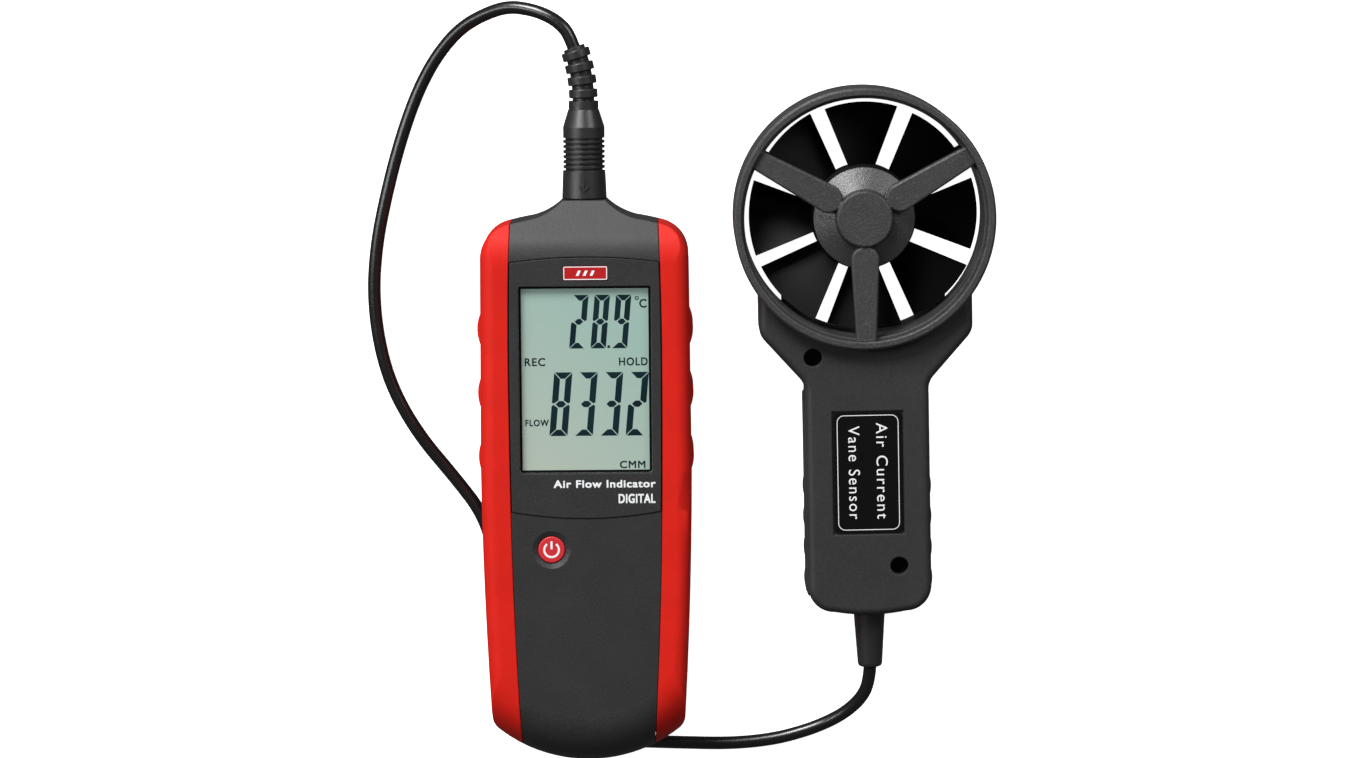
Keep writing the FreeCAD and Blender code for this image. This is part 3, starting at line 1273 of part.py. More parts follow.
def front_guard():
    """Dome with a flat boss, three spokes and a hoop seated in the ring."""
    dome = [(0, DOME_LOW_Z), (DOME_RADIUS - 0.5, DOME_LOW_Z), (DOME_RADIUS, DOME_LOW_Z + 0.5)]
    dome += [(DOME_RADIUS, FRONT_SPOKE_Z[0]), (BOSS_RADIUS + 0.4, 26.2), (BOSS_RADIUS, 28.6)]
    dome += [(BOSS_RADIUS - 0.6, BOSS_TOP_Z), (0, BOSS_TOP_Z)]
    pieces = [turned_z(dome), ring_z(RIM_RADIUS, DUCT_RADIUS, (FRONT_SEAT_Z, FRONT_HOOP_TOP_Z))]
    clear = ring_z(RIM_RADIUS + 5, DUCT_RADIUS - 0.1, (BACK_SEAT_Z, FRONT_SEAT_Z))
    for angle in SPOKE_ANGLES:
        widths = (SPOKE_WIDTH_INNER, SPOKE_WIDTH_OUTER)
        bar = spoke(angle, FRONT_SPOKE_Z, BOSS_RADIUS + 4.6, widths, RIM_RADIUS + 2)
        pieces.append(bar.common(rod_z(RIM_RADIUS, (0, 0), (0, RING_DEPTH))).cut(clear))
    guard = fused(pieces)
    bevelled = [e for e in guard.Edges if spoke_top_edge(e)]
    guard = guard.makeChamfer(FRONT_SPOKE_BEVEL, bevelled)
    return guard.cut(rod_z(BEARING_RADIUS, (0, 0), (DOME_LOW_Z - 1, FRONT_BEARING_Z[1])))


def spoke_top_edge(edge):
    """Straight edges along the tops of the spokes."""
    bounds = edge.BoundBox
    top = FRONT_SPOKE_Z[1]
    flat = abs(bounds.ZMin - top) < 0.01 and abs(bounds.ZMax - top) < 0.01
    return flat and edge.Curve.TypeId == "Part::GeomLine" and edge.Length > 12


def rear_guard():
    """Disc, three spokes and a hoop, which is wider below the vane, where the wires pass."""
    disc = [(0, 0.6), (REAR_DISC_RADIUS - 1, 0.6), (REAR_DISC_RADIUS, 1.4)]
    disc += [(REAR_DISC_RADIUS, BACK_SEAT_Z), (0, BACK_SEAT_Z)]
    hoop_z = (REAR_HOOP_LOW_Z, BACK_SEAT_Z)
    channel_x = (-WIRE_CHANNEL_HALF_WIDTH, WIRE_CHANNEL_HALF_WIDTH)
    channel = ring_z(RIM_RADIUS, WIRE_CHANNEL_RADIUS, hoop_z)
    channel = channel.common(box(channel_x, WIRE_CHANNEL_Y, (0, RING_DEPTH)))
    pieces = [turned_z(disc), channel, ring_z(RIM_RADIUS, DUCT_RADIUS, hoop_z)]
    for angle in SPOKE_ANGLES:
        bar = spoke(angle, REAR_SPOKE_Z, REAR_SPOKE_START, REAR_SPOKE_WIDTHS, RIM_RADIUS + 2)
        pieces.append(bar.common(rod_z(RIM_RADIUS, (0, 0), (0, RING_DEPTH))))
    return fused(pieces).cut(rod_z(BEARING_RADIUS, (0, 0), (REAR_BEARING_Z[0], 5)))


def bearing(z_range):
    return ring_z(BEARING_RADIUS, AXLE_RADIUS + RUNNING_CLEARANCE, z_range)


def pickup_sensor():
    return centred_box((11.0, 0), (4.4, 5.0), (18.9, 21.0))


def temperature_sensor():
    """Bead on a stem through the ring's wall, behind the lower spoke."""
    centre = (0, BEAD_Y, BEAD_Z)
    stem = rod_between(BEAD_STEM_RADIUS, (0, -45.2, BEAD_Z), centre)
    return Part.makeSphere(BEAD_RADIUS, Vector(*centre)).fuse(stem)


# ---------------------------------------------------------------- impeller

def impeller_hub():
    """Cup with a thin wall and a boss for the axle."""
    inside = HUB_RADIUS - HUB_WALL
    cup = [(0, HUB_LOW_Z), (HUB_BOSS_RADIUS, HUB_LOW_Z), (HUB_BOSS_RADIUS, HUB_WEB_Z)]
    cup += [(inside, HUB_WEB_Z), (inside, HUB_LOW_Z), (HUB_RADIUS, HUB_LOW_Z)]
    cup += [(HUB_RADIUS, HUB_TOP_Z - HUB_BEVEL), (HUB_RADIUS - HUB_BEVEL, HUB_TOP_Z), (0, HUB_TOP_Z)]
    return turned_z(cup).cut(rod_z(AXLE_RADIUS, (0, 0), (0, RING_DEPTH)))


def blade_section(radius):
    """Thin slanted section of a blade, square to the radius."""
    pitch = 2 * math.pi * radius / BLADE_COUNT
    half_chord = (pitch - BLADE_GAP) / 2
    points = [
        Vector(radius, -half_chord, BLADE_LOW_Z),
        Vector(radius, half_chord, BLADE_HIGH_Z - BLADE_THICKNESS),
        Vector(radius, half_chord, BLADE_HIGH_Z),
        Vector(radius, -half_chord, BLADE_LOW_Z + BLADE_THICKNESS),
    ]
    points.append(points[0])
    return Part.makePolygon(points)


def impeller_blades():
    stations = [HUB_RADIUS - 2, (HUB_RADIUS + BLADE_TIP_RADIUS) / 2, BLADE_TIP_RADIUS + 2]
    blade = Part.makeLoft([blade_section(radius) for radius in stations], True, True)
    blade = blade.common(ring_z(BLADE_TIP_RADIUS, HUB_RADIUS, (0, RING_DEPTH)))
    solids = []
    for index in range(BLADE_COUNT):
        turned = blade.copy()
        turned.rotate(Vector(0, 0, 0), Vector(0, 0, 1), index * 360.0 / BLADE_COUNT)
        solids.append(turned)
    return group(solids)


def impeller_axle():
    return rod_z(AXLE_RADIUS, (0, 0), AXLE_Z)


def hub_magnets():
    z_range = (HUB_WEB_Z - 2.2, HUB_WEB_Z)
    return group([rod_z(MAGNET_RADIUS, (x, 0), z_range) for x in (-MAGNET_X, MAGNET_X)])


# ---------------------------------------------------------------- cord

def probe_cord():
    rod, length, radii = bent_rod(CORD_ROUTE, CORD_RADIUS)
    section = math.pi * CORD_RADIUS ** 2
    print("cord length", round(length, 1), "volume ratio", round(rod.Volume / (section * length), 4))
    print("cord bend radii", [round(radius) for radius in radii])
    return rod


METER_PARTS = {
    "front_case": front_case,
    "rear_case": rear_case,
    "left_grip": lambda: grip(-1),
    "right_grip": lambda: grip(1),
    "display_bezel": display_bezel,
    "lcd_window": lcd_window,
    "lcd_panel": lcd_panel,
    "backlight_guide": backlight_guide,
    "zebra_strips": zebra_strips,
    "badge": badge,
    "power_button": power_button,
    "main_board": main_board,
    "board_components": board_components,
    "board_screws": board_screws,
    "buzzer": buzzer,
    "tactile_switch": tactile_switch,
    "input_jack": input_jack,
    "battery_9v": battery_9v,
    "battery_snap": battery_snap,
    "battery_door": battery_door,
    "door_screw": door_screw,
    "case_screws": case_screws,
    "tripod_bush": tripod_bush,
    "tilt_stand": tilt_stand,
    "stand_pin": lambda: stand_rod(STAND_PIN_RADIUS, STAND_PIN_REACH),
    "plug_body": plug_body,
    "plug_shield": plug_shield,
    "plug_insert": plug_insert,
    "plug_pins": plug_pins,
    "plug_relief": plug_relief,
}

PROBE_PARTS = {
    "probe_front_shell": probe_front_shell,
    "probe_rear_shell": probe_rear_shell,
    "probe_screws": probe_screws,
    "probe_board": probe_board,
    "sensor_leads": sensor_leads,
    "label_plate": label_plate,
    "probe_relief": probe_relief,
    "vane_ring": vane_ring,
    "front_guard": front_guard,
    "rear_guard": rear_guard,
    "front_bearing": lambda: bearing(FRONT_BEARING_Z),
    "rear_bearing": lambda: bearing(REAR_BEARING_Z),
    "pickup_sensor": pickup_sensor,
    "temperature_sensor": temperature_sensor,
    "impeller_hub": impeller_hub,
    "impeller_blades": impeller_blades,
    "impeller_axle": impeller_axle,
    "hub_magnets": hub_magnets,
}


def save(parts, place, lean=0.0):
    for name, make in parts.items():
        shape = make()
        shape.rotate(Vector(0, 0, 0), Vector(0, 0, 1), lean)
        shape.translate(Vector(place[0], place[1], 0))
        shape.exportStep("parts/" + name + ".step")


os.makedirs("parts", exist_ok=True)
save(METER_PARTS, (METER_X, METER_Y))
save(PROBE_PARTS, (PROBE_X, PROBE_Y), PROBE_LEAN)
save({"probe_cord": probe_cord}, (0, 0))
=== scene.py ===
import json
import math

import bmesh
import bpy
from mathutils import Matrix, Vector


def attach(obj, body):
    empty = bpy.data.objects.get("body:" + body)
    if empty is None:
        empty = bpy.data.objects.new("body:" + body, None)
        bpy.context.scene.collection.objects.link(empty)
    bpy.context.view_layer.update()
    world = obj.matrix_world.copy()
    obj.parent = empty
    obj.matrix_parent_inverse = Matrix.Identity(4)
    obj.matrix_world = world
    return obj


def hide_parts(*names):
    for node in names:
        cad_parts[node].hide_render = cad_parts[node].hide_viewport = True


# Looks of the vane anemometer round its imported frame. The scene is in metres. The print and
# the arrow are described in millimetres, and MM turns those into metres. METER and PROBE are
# the places of the two halves: the middle of the meter's toe, and the centre of the vane ring.

MM = 0.001
METER = Vector((-52.54, -117.76, 0.0)) * MM
PROBE = Vector((45.03, 72.76, 0.0)) * MM
PROBE_LEAN = math.radians(0.75)

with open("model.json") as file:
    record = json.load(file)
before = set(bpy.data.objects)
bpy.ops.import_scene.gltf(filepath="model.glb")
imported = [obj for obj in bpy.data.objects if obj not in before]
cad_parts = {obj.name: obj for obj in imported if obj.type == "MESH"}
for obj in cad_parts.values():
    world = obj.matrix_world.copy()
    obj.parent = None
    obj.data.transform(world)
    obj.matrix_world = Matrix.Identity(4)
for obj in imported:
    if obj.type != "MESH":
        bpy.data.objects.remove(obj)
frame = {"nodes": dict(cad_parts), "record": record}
nodes = frame["nodes"]
scene = bpy.context.scene


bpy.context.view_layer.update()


# ---------------------------------------------------------------- camera

CAMERA_DISTANCE = 1.5
CAMERA_TILT = math.radians(6.4)
CAMERA_ROLL = math.radians(0.45)
CAMERA_TARGET = Vector((-21.44, 16.99, 25.0)) * MM
SENSOR_WIDTH = 36.0
LENS_LENGTH = 114.3


def add_camera():
    data = bpy.data.cameras.new("camera")
    data.sensor_width = SENSOR_WIDTH
    data.lens = LENS_LENGTH
    data.clip_start = 0.05
    data.clip_end = 20.0
    camera = bpy.data.objects.new("camera", data)
    scene.collection.objects.link(camera)
    back = Vector((0, math.sin(CAMERA_TILT), math.cos(CAMERA_TILT)))
    level_up = Vector((0, math.cos(CAMERA_TILT), -math.sin(CAMERA_TILT)))
    level_right = Vector((1, 0, 0))
    cosine = math.cos(CAMERA_ROLL)
    sine = math.sin(CAMERA_ROLL)
    right = level_right * cosine - level_up * sine
    up = level_right * sine + level_up * cosine
    turn = Matrix((right, up, back)).transposed().to_4x4()
    camera.matrix_world = Matrix.Translation(CAMERA_TARGET + back * CAMERA_DISTANCE) @ turn
    scene.camera = camera


add_camera()


# ---------------------------------------------------------------- materials

# The noise values at which a finish's range begins and ends
NOISE_LOW = 0.3
NOISE_HIGH = 0.7

# The noise values at which the painted glints on the grain begin and reach their full strength
GLINT_START = 0.52
GLINT_FULL = 0.72

BROAD_GRAIN = 14 * MM
BUMP_DEPTH = 0.12 * MM
ROUGHNESS_VARIATION = 0.06
COAT_ROUGHNESS = 0.15

# Textures squeezed along one axis
SQUEEZED_X = (6.0, 1.0, 1.0)
SQUEEZED_Z = (1.0, 1.0, 5.0)

# The display's two tints, its own green and a lighter, warmer painted reflection at its lower
# left, and how the change from one to the other lies over the glass
PAINTED_REFLECTION_TINT = (0.55, 0.52, 0.46, 1)
GREEN_TINT = (0.38, 0.49, 0.45, 1)
REFLECTION_SHIFT = (0.96, 0.41, 0)
REFLECTION_TURN = (0, 0, math.radians(-55))
REFLECTION_SCALE = (13.0, 13.0, 13.0)
# Painted glow: the display glass shines with its own tint though no lamp lights it
PAINTED_DISPLAY_GLOW = 0.22
DISPLAY_ROUGHNESS = 0.45

WINDOW_TINT = (0.93, 0.96, 0.95, 1)
WINDOW_GLOSS = 0.05
SMUDGE_SIZE = 9 * MM
SMUDGE_ROUGHNESS = (0.03, 0.12)

# Finish of each plain material. grain is the size of the fine texture and edge the rounding of
# sharp edges, both in millimetres. bump, mottle and glint_strength are strengths; glint_strength
# is that of painted glints, light flecks on the grain's tops.
SURFACES = {
    "case_black": dict(color=(0.022, 0.022, 0.0225), roughness=0.46, grain=0.50, bump=0.55,
                       mottle=0.10, glint_strength=0.012, edge=0.5, specular=0.42),
    "grip_red": dict(color=(0.59, 0.013, 0.007), roughness=0.50, grain=0.40, bump=0.12,
                     mottle=0.06, edge=0.6, specular=0.18),
    "light_guide": dict(color=(0.80, 0.84, 0.80), roughness=0.35, grain=0.6, bump=0.05,
                        mottle=0.03),
    "conductive_rubber": dict(color=(0.05, 0.05, 0.05), roughness=0.7, grain=0.4, bump=0.2,
                              mottle=0.2, squeeze=SQUEEZED_X),
    "badge_red": dict(color=(0.42, 0.010, 0.012), roughness=0.32, grain=0.5, bump=0.03,
                      mottle=0.05, coat=0.2),
    "button_red": dict(color=(0.55, 0.022, 0.030), roughness=0.42, grain=0.4, bump=0.08,
                       mottle=0.08, edge=0.4),
    "board_green": dict(color=(0.02, 0.13, 0.05), roughness=0.35, grain=0.9, bump=0.1,
                        mottle=0.2),
    "component_black": dict(color=(0.02, 0.02, 0.02), roughness=0.55, grain=0.3, bump=0.2,
                            mottle=0.15),
    "steel": dict(color=(0.55, 0.56, 0.58), roughness=0.32, grain=0.25, bump=0.1, mottle=0.08,
                  metallic=1.0, squeeze=SQUEEZED_Z),
    "brass": dict(color=(0.72, 0.50, 0.20), roughness=0.3, grain=0.25, bump=0.1, mottle=0.1,
                  metallic=1.0, squeeze=SQUEEZED_Z),
    "jack_black": dict(color=(0.012, 0.012, 0.012), roughness=0.4, grain=0.3, bump=0.1,
                       mottle=0.1),
    "battery_jacket": dict(color=(0.05, 0.06, 0.08), roughness=0.3, grain=1.0, bump=0.05,
                           mottle=0.2, coat=0.4),
    "snap_black": dict(color=(0.02, 0.02, 0.02), roughness=0.5, grain=0.4, bump=0.2,
                       mottle=0.15),
    "stand_black": dict(color=(0.018, 0.018, 0.019), roughness=0.5, grain=0.3, bump=0.25,
                        mottle=0.1),
    "plug_black": dict(color=(0.016, 0.016, 0.0165), roughness=0.36, grain=0.45, bump=0.40,
                       mottle=0.12, specular=0.7),
    "cord_black": dict(color=(0.006, 0.006, 0.0065), roughness=0.28, grain=0.6, bump=0.02,
                       mottle=0.15, edge=0.1, specular=0.7),
    "probe_black": dict(color=(0.025, 0.025, 0.0255), roughness=0.48, grain=0.45, bump=0.45,
                        mottle=0.10, glint_strength=0.012, edge=0.6, specular=0.40),
    "ring_black": dict(color=(0.032, 0.032, 0.0325), roughness=0.40, grain=0.55, bump=1.0,
                       mottle=0.12, glint_strength=0.03, edge=0.5, specular=0.8),
    "vane_black": dict(color=(0.0022, 0.0022, 0.0022), roughness=0.55, grain=0.5, bump=0.08,
                       mottle=0.15, edge=0.15, specular=0.12),
    # screw_black: black screws, darkened further as painted shade of the deep holes they sit in
    "screw_black": dict(color=(0.001, 0.001, 0.001), roughness=0.30, grain=0.3, bump=0.1,
                        mottle=0.1, edge=0.3, specular=0.15),
    "label_black": dict(color=(0.003, 0.003, 0.0035), roughness=0.36, grain=0.6, bump=0.03,
                        mottle=0.1, edge=0.15, specular=0.2),
    "print_white": dict(color=(0.80, 0.81, 0.82), roughness=0.5, grain=0.3, bump=0.05,
                        mottle=0.04, edge=0.05),
    "lcd_ink": dict(color=(0.006, 0.024, 0.032), roughness=0.5, grain=0.5, bump=0.02,
                    mottle=0.2, edge=0.05, specular=0.1),
}


def new_material(name):
    material = bpy.data.materials.new(name)
    material.use_nodes = True
    tree = material.node_tree
    tree.nodes.clear()
    output = tree.nodes.new("ShaderNodeOutputMaterial")
    return material, tree, output


def noise(tree, size, detail, roughness, squeeze=None):
    """Noise in the piece's own space, with features about this size in metres."""
    place = tree.nodes.new("ShaderNodeTexCoord").outputs["Object"]
    if squeeze:
        mapping = tree.nodes.new("ShaderNodeMapping")
        mapping.inputs["Scale"].default_value = squeeze
        tree.links.new(place, mapping.inputs["Vector"])
        place = mapping.outputs["Vector"]
    node = tree.nodes.new("ShaderNodeTexNoise")
    node.inputs["Scale"].default_value = 1.0 / size
    node.inputs["Detail"].default_value = detail
    node.inputs["Roughness"].default_value = roughness
    tree.links.new(place, node.inputs["Vector"])
    return node.outputs["Fac"]


def ramp(tree, factor, low, high):
    """Color that goes from one stop to another. A stop is a position and a color."""
    node = tree.nodes.new("ShaderNodeValToRGB")
    for element, (position, color) in zip(node.color_ramp.elements, (low, high)):
        element.position = position
        element.color = color
    tree.links.new(factor, node.inputs["Fac"])
    return node.outputs["Color"]


def spread(tree, factor, low, high):
    """Turns noise into values from low to high."""
    node = tree.nodes.new("ShaderNodeMapRange")
    node.inputs["From Min"].default_value = NOISE_LOW
    node.inputs["From Max"].default_value = NOISE_HIGH
    node.inputs["To Min"].default_value = low
    node.inputs["To Max"].default_value = high
    tree.links.new(factor, node.inputs["Value"])
    return node.outputs["Result"]


def shade(color, factor):
    return tuple(min(1.0, part * factor) for part in color) + (1.0,)


def rounded_normal(tree, radius):
    node = tree.nodes.new("ShaderNodeBevel")
    node.samples = 4
    node.inputs["Radius"].default_value = radius
    return node.outputs["Normal"]


def bumped(tree, height, strength, normal):
    node = tree.nodes.new("ShaderNodeBump")
    node.inputs["Strength"].default_value = strength
    node.inputs["Distance"].default_value = BUMP_DEPTH
    tree.links.new(height, node.inputs["Height"])
    tree.links.new(normal, node.inputs["Normal"])
    return node.outputs["Normal"]


def painted_glints(tree, base, fine, strength):
    """The base color with painted glints: light flecks on the highest grains."""
    mixer = tree.nodes.new("ShaderNodeMix")
    mixer.data_type = "RGBA"
    mixer.blend_type = "ADD"
    brightest_glint = shade((1, 1, 1), strength)
    glints = ramp(tree, fine, (GLINT_START, (0, 0, 0, 1)), (GLINT_FULL, brightest_glint))
    mixer.inputs["Factor"].default_value = 1.0
    tree.links.new(base, mixer.inputs["A"])
    tree.links.new(glints, mixer.inputs["B"])
    return mixer.outputs["Result"]


def surface(name, color, roughness, grain, bump, mottle, glint_strength=0.0, edge=0.25, metallic=0.0,
            coat=0.0, specular=0.5, squeeze=None):
    """Moulded or turned surface, with the finish that SURFACES describes."""
    material, tree, output = new_material(name)
    shader = tree.nodes.new("ShaderNodeBsdfPrincipled")
    fine = noise(tree, grain * MM, detail=2.0, roughness=0.7, squeeze=squeeze)
    broad = noise(tree, BROAD_GRAIN, detail=4.0, roughness=0.55)
    darker = shade(color, 1 - mottle)
    lighter = shade(color, 1 + mottle)
    base = ramp(tree, broad, (NOISE_LOW, darker), (NOISE_HIGH, lighter))
    # Painted glints: light flecks on the grain's tops that stand in for light catching the grain
    if glint_strength > 0:
        base = painted_glints(tree, base, fine, glint_strength)
    tree.links.new(base, shader.inputs["Base Color"])
    least = roughness - ROUGHNESS_VARIATION
    most = roughness + ROUGHNESS_VARIATION
    tree.links.new(spread(tree, fine, least, most), shader.inputs["Roughness"])
    normal = bumped(tree, fine, bump, rounded_normal(tree, edge * MM))
    tree.links.new(normal, shader.inputs["Normal"])
    shader.inputs["Metallic"].default_value = metallic
    shader.inputs["Coat Weight"].default_value = coat
    shader.inputs["Coat Roughness"].default_value = COAT_ROUGHNESS
    shader.inputs["Specular IOR Level"].default_value = specular
    tree.links.new(shader.outputs["BSDF"], output.inputs["Surface"])
    return material


def clear_window():
    """Clear cover with a faint surface sheen. Light passes straight through it."""
    material, tree, output = new_material("clear_window")
    clear = tree.nodes.new("ShaderNodeBsdfTransparent")
    clear.inputs["Color"].default_value = WINDOW_TINT
    gloss = tree.nodes.new("ShaderNodeBsdfPrincipled")
    gloss.inputs["Base Color"].default_value = (0.02, 0.02, 0.02, 1)
    smudges = noise(tree, SMUDGE_SIZE, detail=4.0, roughness=0.6)
    tree.links.new(spread(tree, smudges, *SMUDGE_ROUGHNESS), gloss.inputs["Roughness"])
    mixer = tree.nodes.new("ShaderNodeMixShader")
    mixer.inputs["Fac"].default_value = WINDOW_GLOSS
    tree.links.new(clear.outputs["BSDF"], mixer.inputs[1])
    tree.links.new(gloss.outputs["BSDF"], mixer.inputs[2])
    tree.links.new(mixer.outputs["Shader"], output.inputs["Surface"])
    return material


def display_glass():
    """Display glass with a painted glow. A painted reflection makes it lighter and warmer at its
    lower left, and it is greener at its upper right.
    """
    material, tree, output = new_material("lcd_glass")
    shader = tree.nodes.new("ShaderNodeBsdfPrincipled")
    place = tree.nodes.new("ShaderNodeTexCoord").outputs["Object"]
    mapping = tree.nodes.new("ShaderNodeMapping")
    mapping.inputs["Location"].default_value = REFLECTION_SHIFT
    mapping.inputs["Rotation"].default_value = REFLECTION_TURN
    mapping.inputs["Scale"].default_value = REFLECTION_SCALE
    tree.links.new(place, mapping.inputs["Vector"])
    parts = tree.nodes.new("ShaderNodeSeparateXYZ")
    tree.links.new(mapping.outputs["Vector"], parts.inputs["Vector"])
    # Painted reflection: the glass turns lighter and warmer towards its lower left
    tint = ramp(tree, parts.outputs["X"], (0.0, PAINTED_REFLECTION_TINT), (1.0, GREEN_TINT))
    tree.links.new(tint, shader.inputs["Base Color"])
    # Painted glow in the same tint
    tree.links.new(tint, shader.inputs["Emission Color"])
    shader.inputs["Emission Strength"].default_value = PAINTED_DISPLAY_GLOW
    shader.inputs["Roughness"].default_value = DISPLAY_ROUGHNESS
    tree.links.new(shader.outputs["BSDF"], output.inputs["Surface"])
    return material


MATERIALS = {name: surface(name, **finish) for name, finish in SURFACES.items()}
MATERIALS["clear_window"] = clear_window()
MATERIALS["lcd_glass"] = display_glass()


def dress_nodes():
    """Gives every CAD node the material of its slot in the record."""
    for subpart in frame["record"]["subparts"]:
        node = nodes[subpart["node"]]
        node.data.materials.clear()
        node.data.materials.append(MATERIALS[subpart["material_slot"]])


dress_nodes()


# ---------------------------------------------------------------- pieces

def add_piece(name, data, slot, body):
    piece = bpy.data.objects.new(name, data)
    scene.collection.objects.link(piece)
    piece.data.materials.clear()
    piece.data.materials.append(MATERIALS[slot])
    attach(piece, body)
    return piece


def placement(origin):
    """From a half's own space to the space that both halves share. The probe leans a little."""
    lean = PROBE_LEAN if origin == PROBE else 0.0
    return Matrix.Translation(origin) @ Matrix.Rotation(lean, 4, "Z")


def prism(outlines_mm, low_mm, high_mm):
    """Mesh of upright prisms over closed outlines of (x, y)."""
    mesh = bmesh.new()
    for outline in outlines_mm:
        low = [mesh.verts.new((x * MM, y * MM, low_mm * MM)) for x, y in outline]
        high = [mesh.verts.new((x * MM, y * MM, high_mm * MM)) for x, y in outline]
        count = len(outline)
        mesh.faces.new(high)
        mesh.faces.new(list(reversed(low)))
        for index in range(count):
            after = (index + 1) % count
            mesh.faces.new((low[index], low[after], high[after], high[index]))
    bmesh.ops.recalc_face_normals(mesh, faces=mesh.faces)
    data = bpy.data.meshes.new("print")
    mesh.to_mesh(data)
    mesh.free()
    return data


def rectangle(x_range, y_range):
    low_x, high_x = x_range
    low_y, high_y = y_range
    return [(low_x, low_y), (high_x, low_y), (high_x, high_y), (low_x, high_y)]


def arc_band(radius, width, angles_deg, steps, centre):
    """Outlines of short pieces of a band along an arc, end to end."""
    inner = radius - width / 2
    outer = radius + width / 2
    start, end = angles_deg
    outlines = []
    for step in range(steps):
        first = math.radians(start + (end - start) * step / steps)
        second = math.radians(start + (end - start) * (step + 1) / steps)
        ends = ((first, inner), (first, outer), (second, outer), (second, inner))
        outline = [(centre[0] + reach * math.cos(angle), centre[1] + reach * math.sin(angle))
                   for angle, reach in ends]
        outlines.append(outline)
    return outlines


def frame_outlines(x_range, y_range, width, corner, steps=6):
    """Outlines of a rounded rectangular line of even width, piece by piece."""
    inner_x = (x_range[0] + corner, x_range[1] - corner)
    inner_y = (y_range[0] + corner, y_range[1] - corner)
    centres = ((inner_x[1], inner_y[1]), (inner_x[0], inner_y[1]),
               (inner_x[0], inner_y[0]), (inner_x[1], inner_y[0]))
    outlines = []
    for quarter, centre in enumerate(centres):
        angles = (90 * quarter, 90 * quarter + 90)
        outlines += arc_band(corner, width, angles, steps, centre)
    half = width / 2
    for x in x_range:
        outlines.append(rectangle((x - half, x + half), inner_y))
    for y in y_range:
        outlines.append(rectangle(inner_x, (y - half, y + half)))
    return outlines


# ---------------------------------------------------------------- print

# Heights of the surfaces that carry print, in mm
GLASS_TOP = 38.75
BEZEL_TOP = 41.4
BADGE_TOP = 41.65
BUTTON_TOP = 40.4
LABEL_TOP = 23.6

# Where print goes: its half's place, the surface's height, the print's material and its body
ON_GLASS = (METER, GLASS_TOP, "lcd_ink", "meter")
ON_GLASS_EDGE = (METER, GLASS_TOP, "label_black", "meter")
ON_BEZEL = (METER, BEZEL_TOP, "print_white", "meter")
ON_BADGE = (METER, BADGE_TOP, "print_white", "meter")
ON_BUTTON = (METER, BUTTON_TOP, "print_white", "power_button")
ON_LABEL = (PROBE, LABEL_TOP, "print_white", "probe_set")

# How high the print's two faces stand over its surface, and how much higher each of the copies
# that make it bold stands than the one before, in mm
PRINT_LOW = 0.004
PRINT_HIGH = 0.03
BOLD_STEP = 0.004


def printed(name, outlines_mm, surface_below):
    """Print on a surface, from its outlines."""
    origin, top_mm, slot, body = surface_below
    data = prism(outlines_mm, top_mm + PRINT_LOW, top_mm + PRINT_HIGH)
    data.transform(placement(origin))
    data.name = name
    return add_piece(name, data, slot, body)


def flat_letters(name, words, spacing, turn_deg):
    """Flat mesh of words in the built-in typeface, at no particular size."""
    text = bpy.data.curves.new(name, "FONT")
    text.body = words
    text.size = 1.0
    text.space_character = spacing
    text.resolution_u = 6
    holder = bpy.data.objects.new(name + "_type", text)
    scene.collection.objects.link(holder)
    bpy.context.view_layer.update()
    mesh = bpy.data.meshes.new_from_object(holder)
    bpy.data.objects.remove(holder)
    mesh.transform(Matrix.Rotation(math.radians(turn_deg), 4, "Z"))
    return mesh


def fit(mesh, ranges_mm, z_mm):
    """Stretches a flat mesh over a box, given as its ranges along x and y."""
    for axis, (goal_low, goal_high) in enumerate(ranges_mm):
        places = [vertex.co[axis] for vertex in mesh.vertices]
        low = min(places)
        size = max(places) - low
        for vertex in mesh.vertices:
            share = (vertex.co[axis] - low) / size
            vertex.co[axis] = goal_low * MM + share * (goal_high * MM - goal_low * MM)
    for vertex in mesh.vertices:
        vertex.co.z = z_mm * MM


def corner_vertices(geometry):
    return [item for item in geometry if isinstance(item, bmesh.types.BMVert)]


def lettering(name, words, x_range, y_range, surface_below, bold=0.0, spacing=1.0, turn_deg=0.0):
    """Words fitted to a box on a surface. bold thickens every stroke by so much, in mm."""
    origin, top_mm, slot, body = surface_below
    mesh = flat_letters(name, words, spacing, turn_deg)
    fit(mesh, (x_range, y_range), top_mm + PRINT_LOW)
    solid = bmesh.new()
    solid.from_mesh(mesh)
    grown = bmesh.ops.extrude_face_region(solid, geom=solid.faces[:])
    for vertex in corner_vertices(grown["geom"]):
        vertex.co.z += (PRINT_HIGH - PRINT_LOW) * MM
    if bold > 0:
        letters = solid.verts[:] + solid.edges[:] + solid.faces[:]
        half = bold / 2
        sides = ((-half, -half), (half, -half), (-half, half), (half, half))
        for number, (x, y) in enumerate(sides, start=1):
            copied = bmesh.ops.duplicate(solid, geom=letters)["geom"]
            shift = Vector((x, y, number * BOLD_STEP)) * MM
            bmesh.ops.translate(solid, verts=corner_vertices(copied), vec=shift)
    bmesh.ops.recalc_face_normals(solid, faces=solid.faces)
    solid.to_mesh(mesh)
    solid.free()
    mesh.transform(placement(origin))
    return add_piece(name, mesh, slot, body)


# ---------------------------------------------------------------- cord

CORD_RADIUS = 2.3

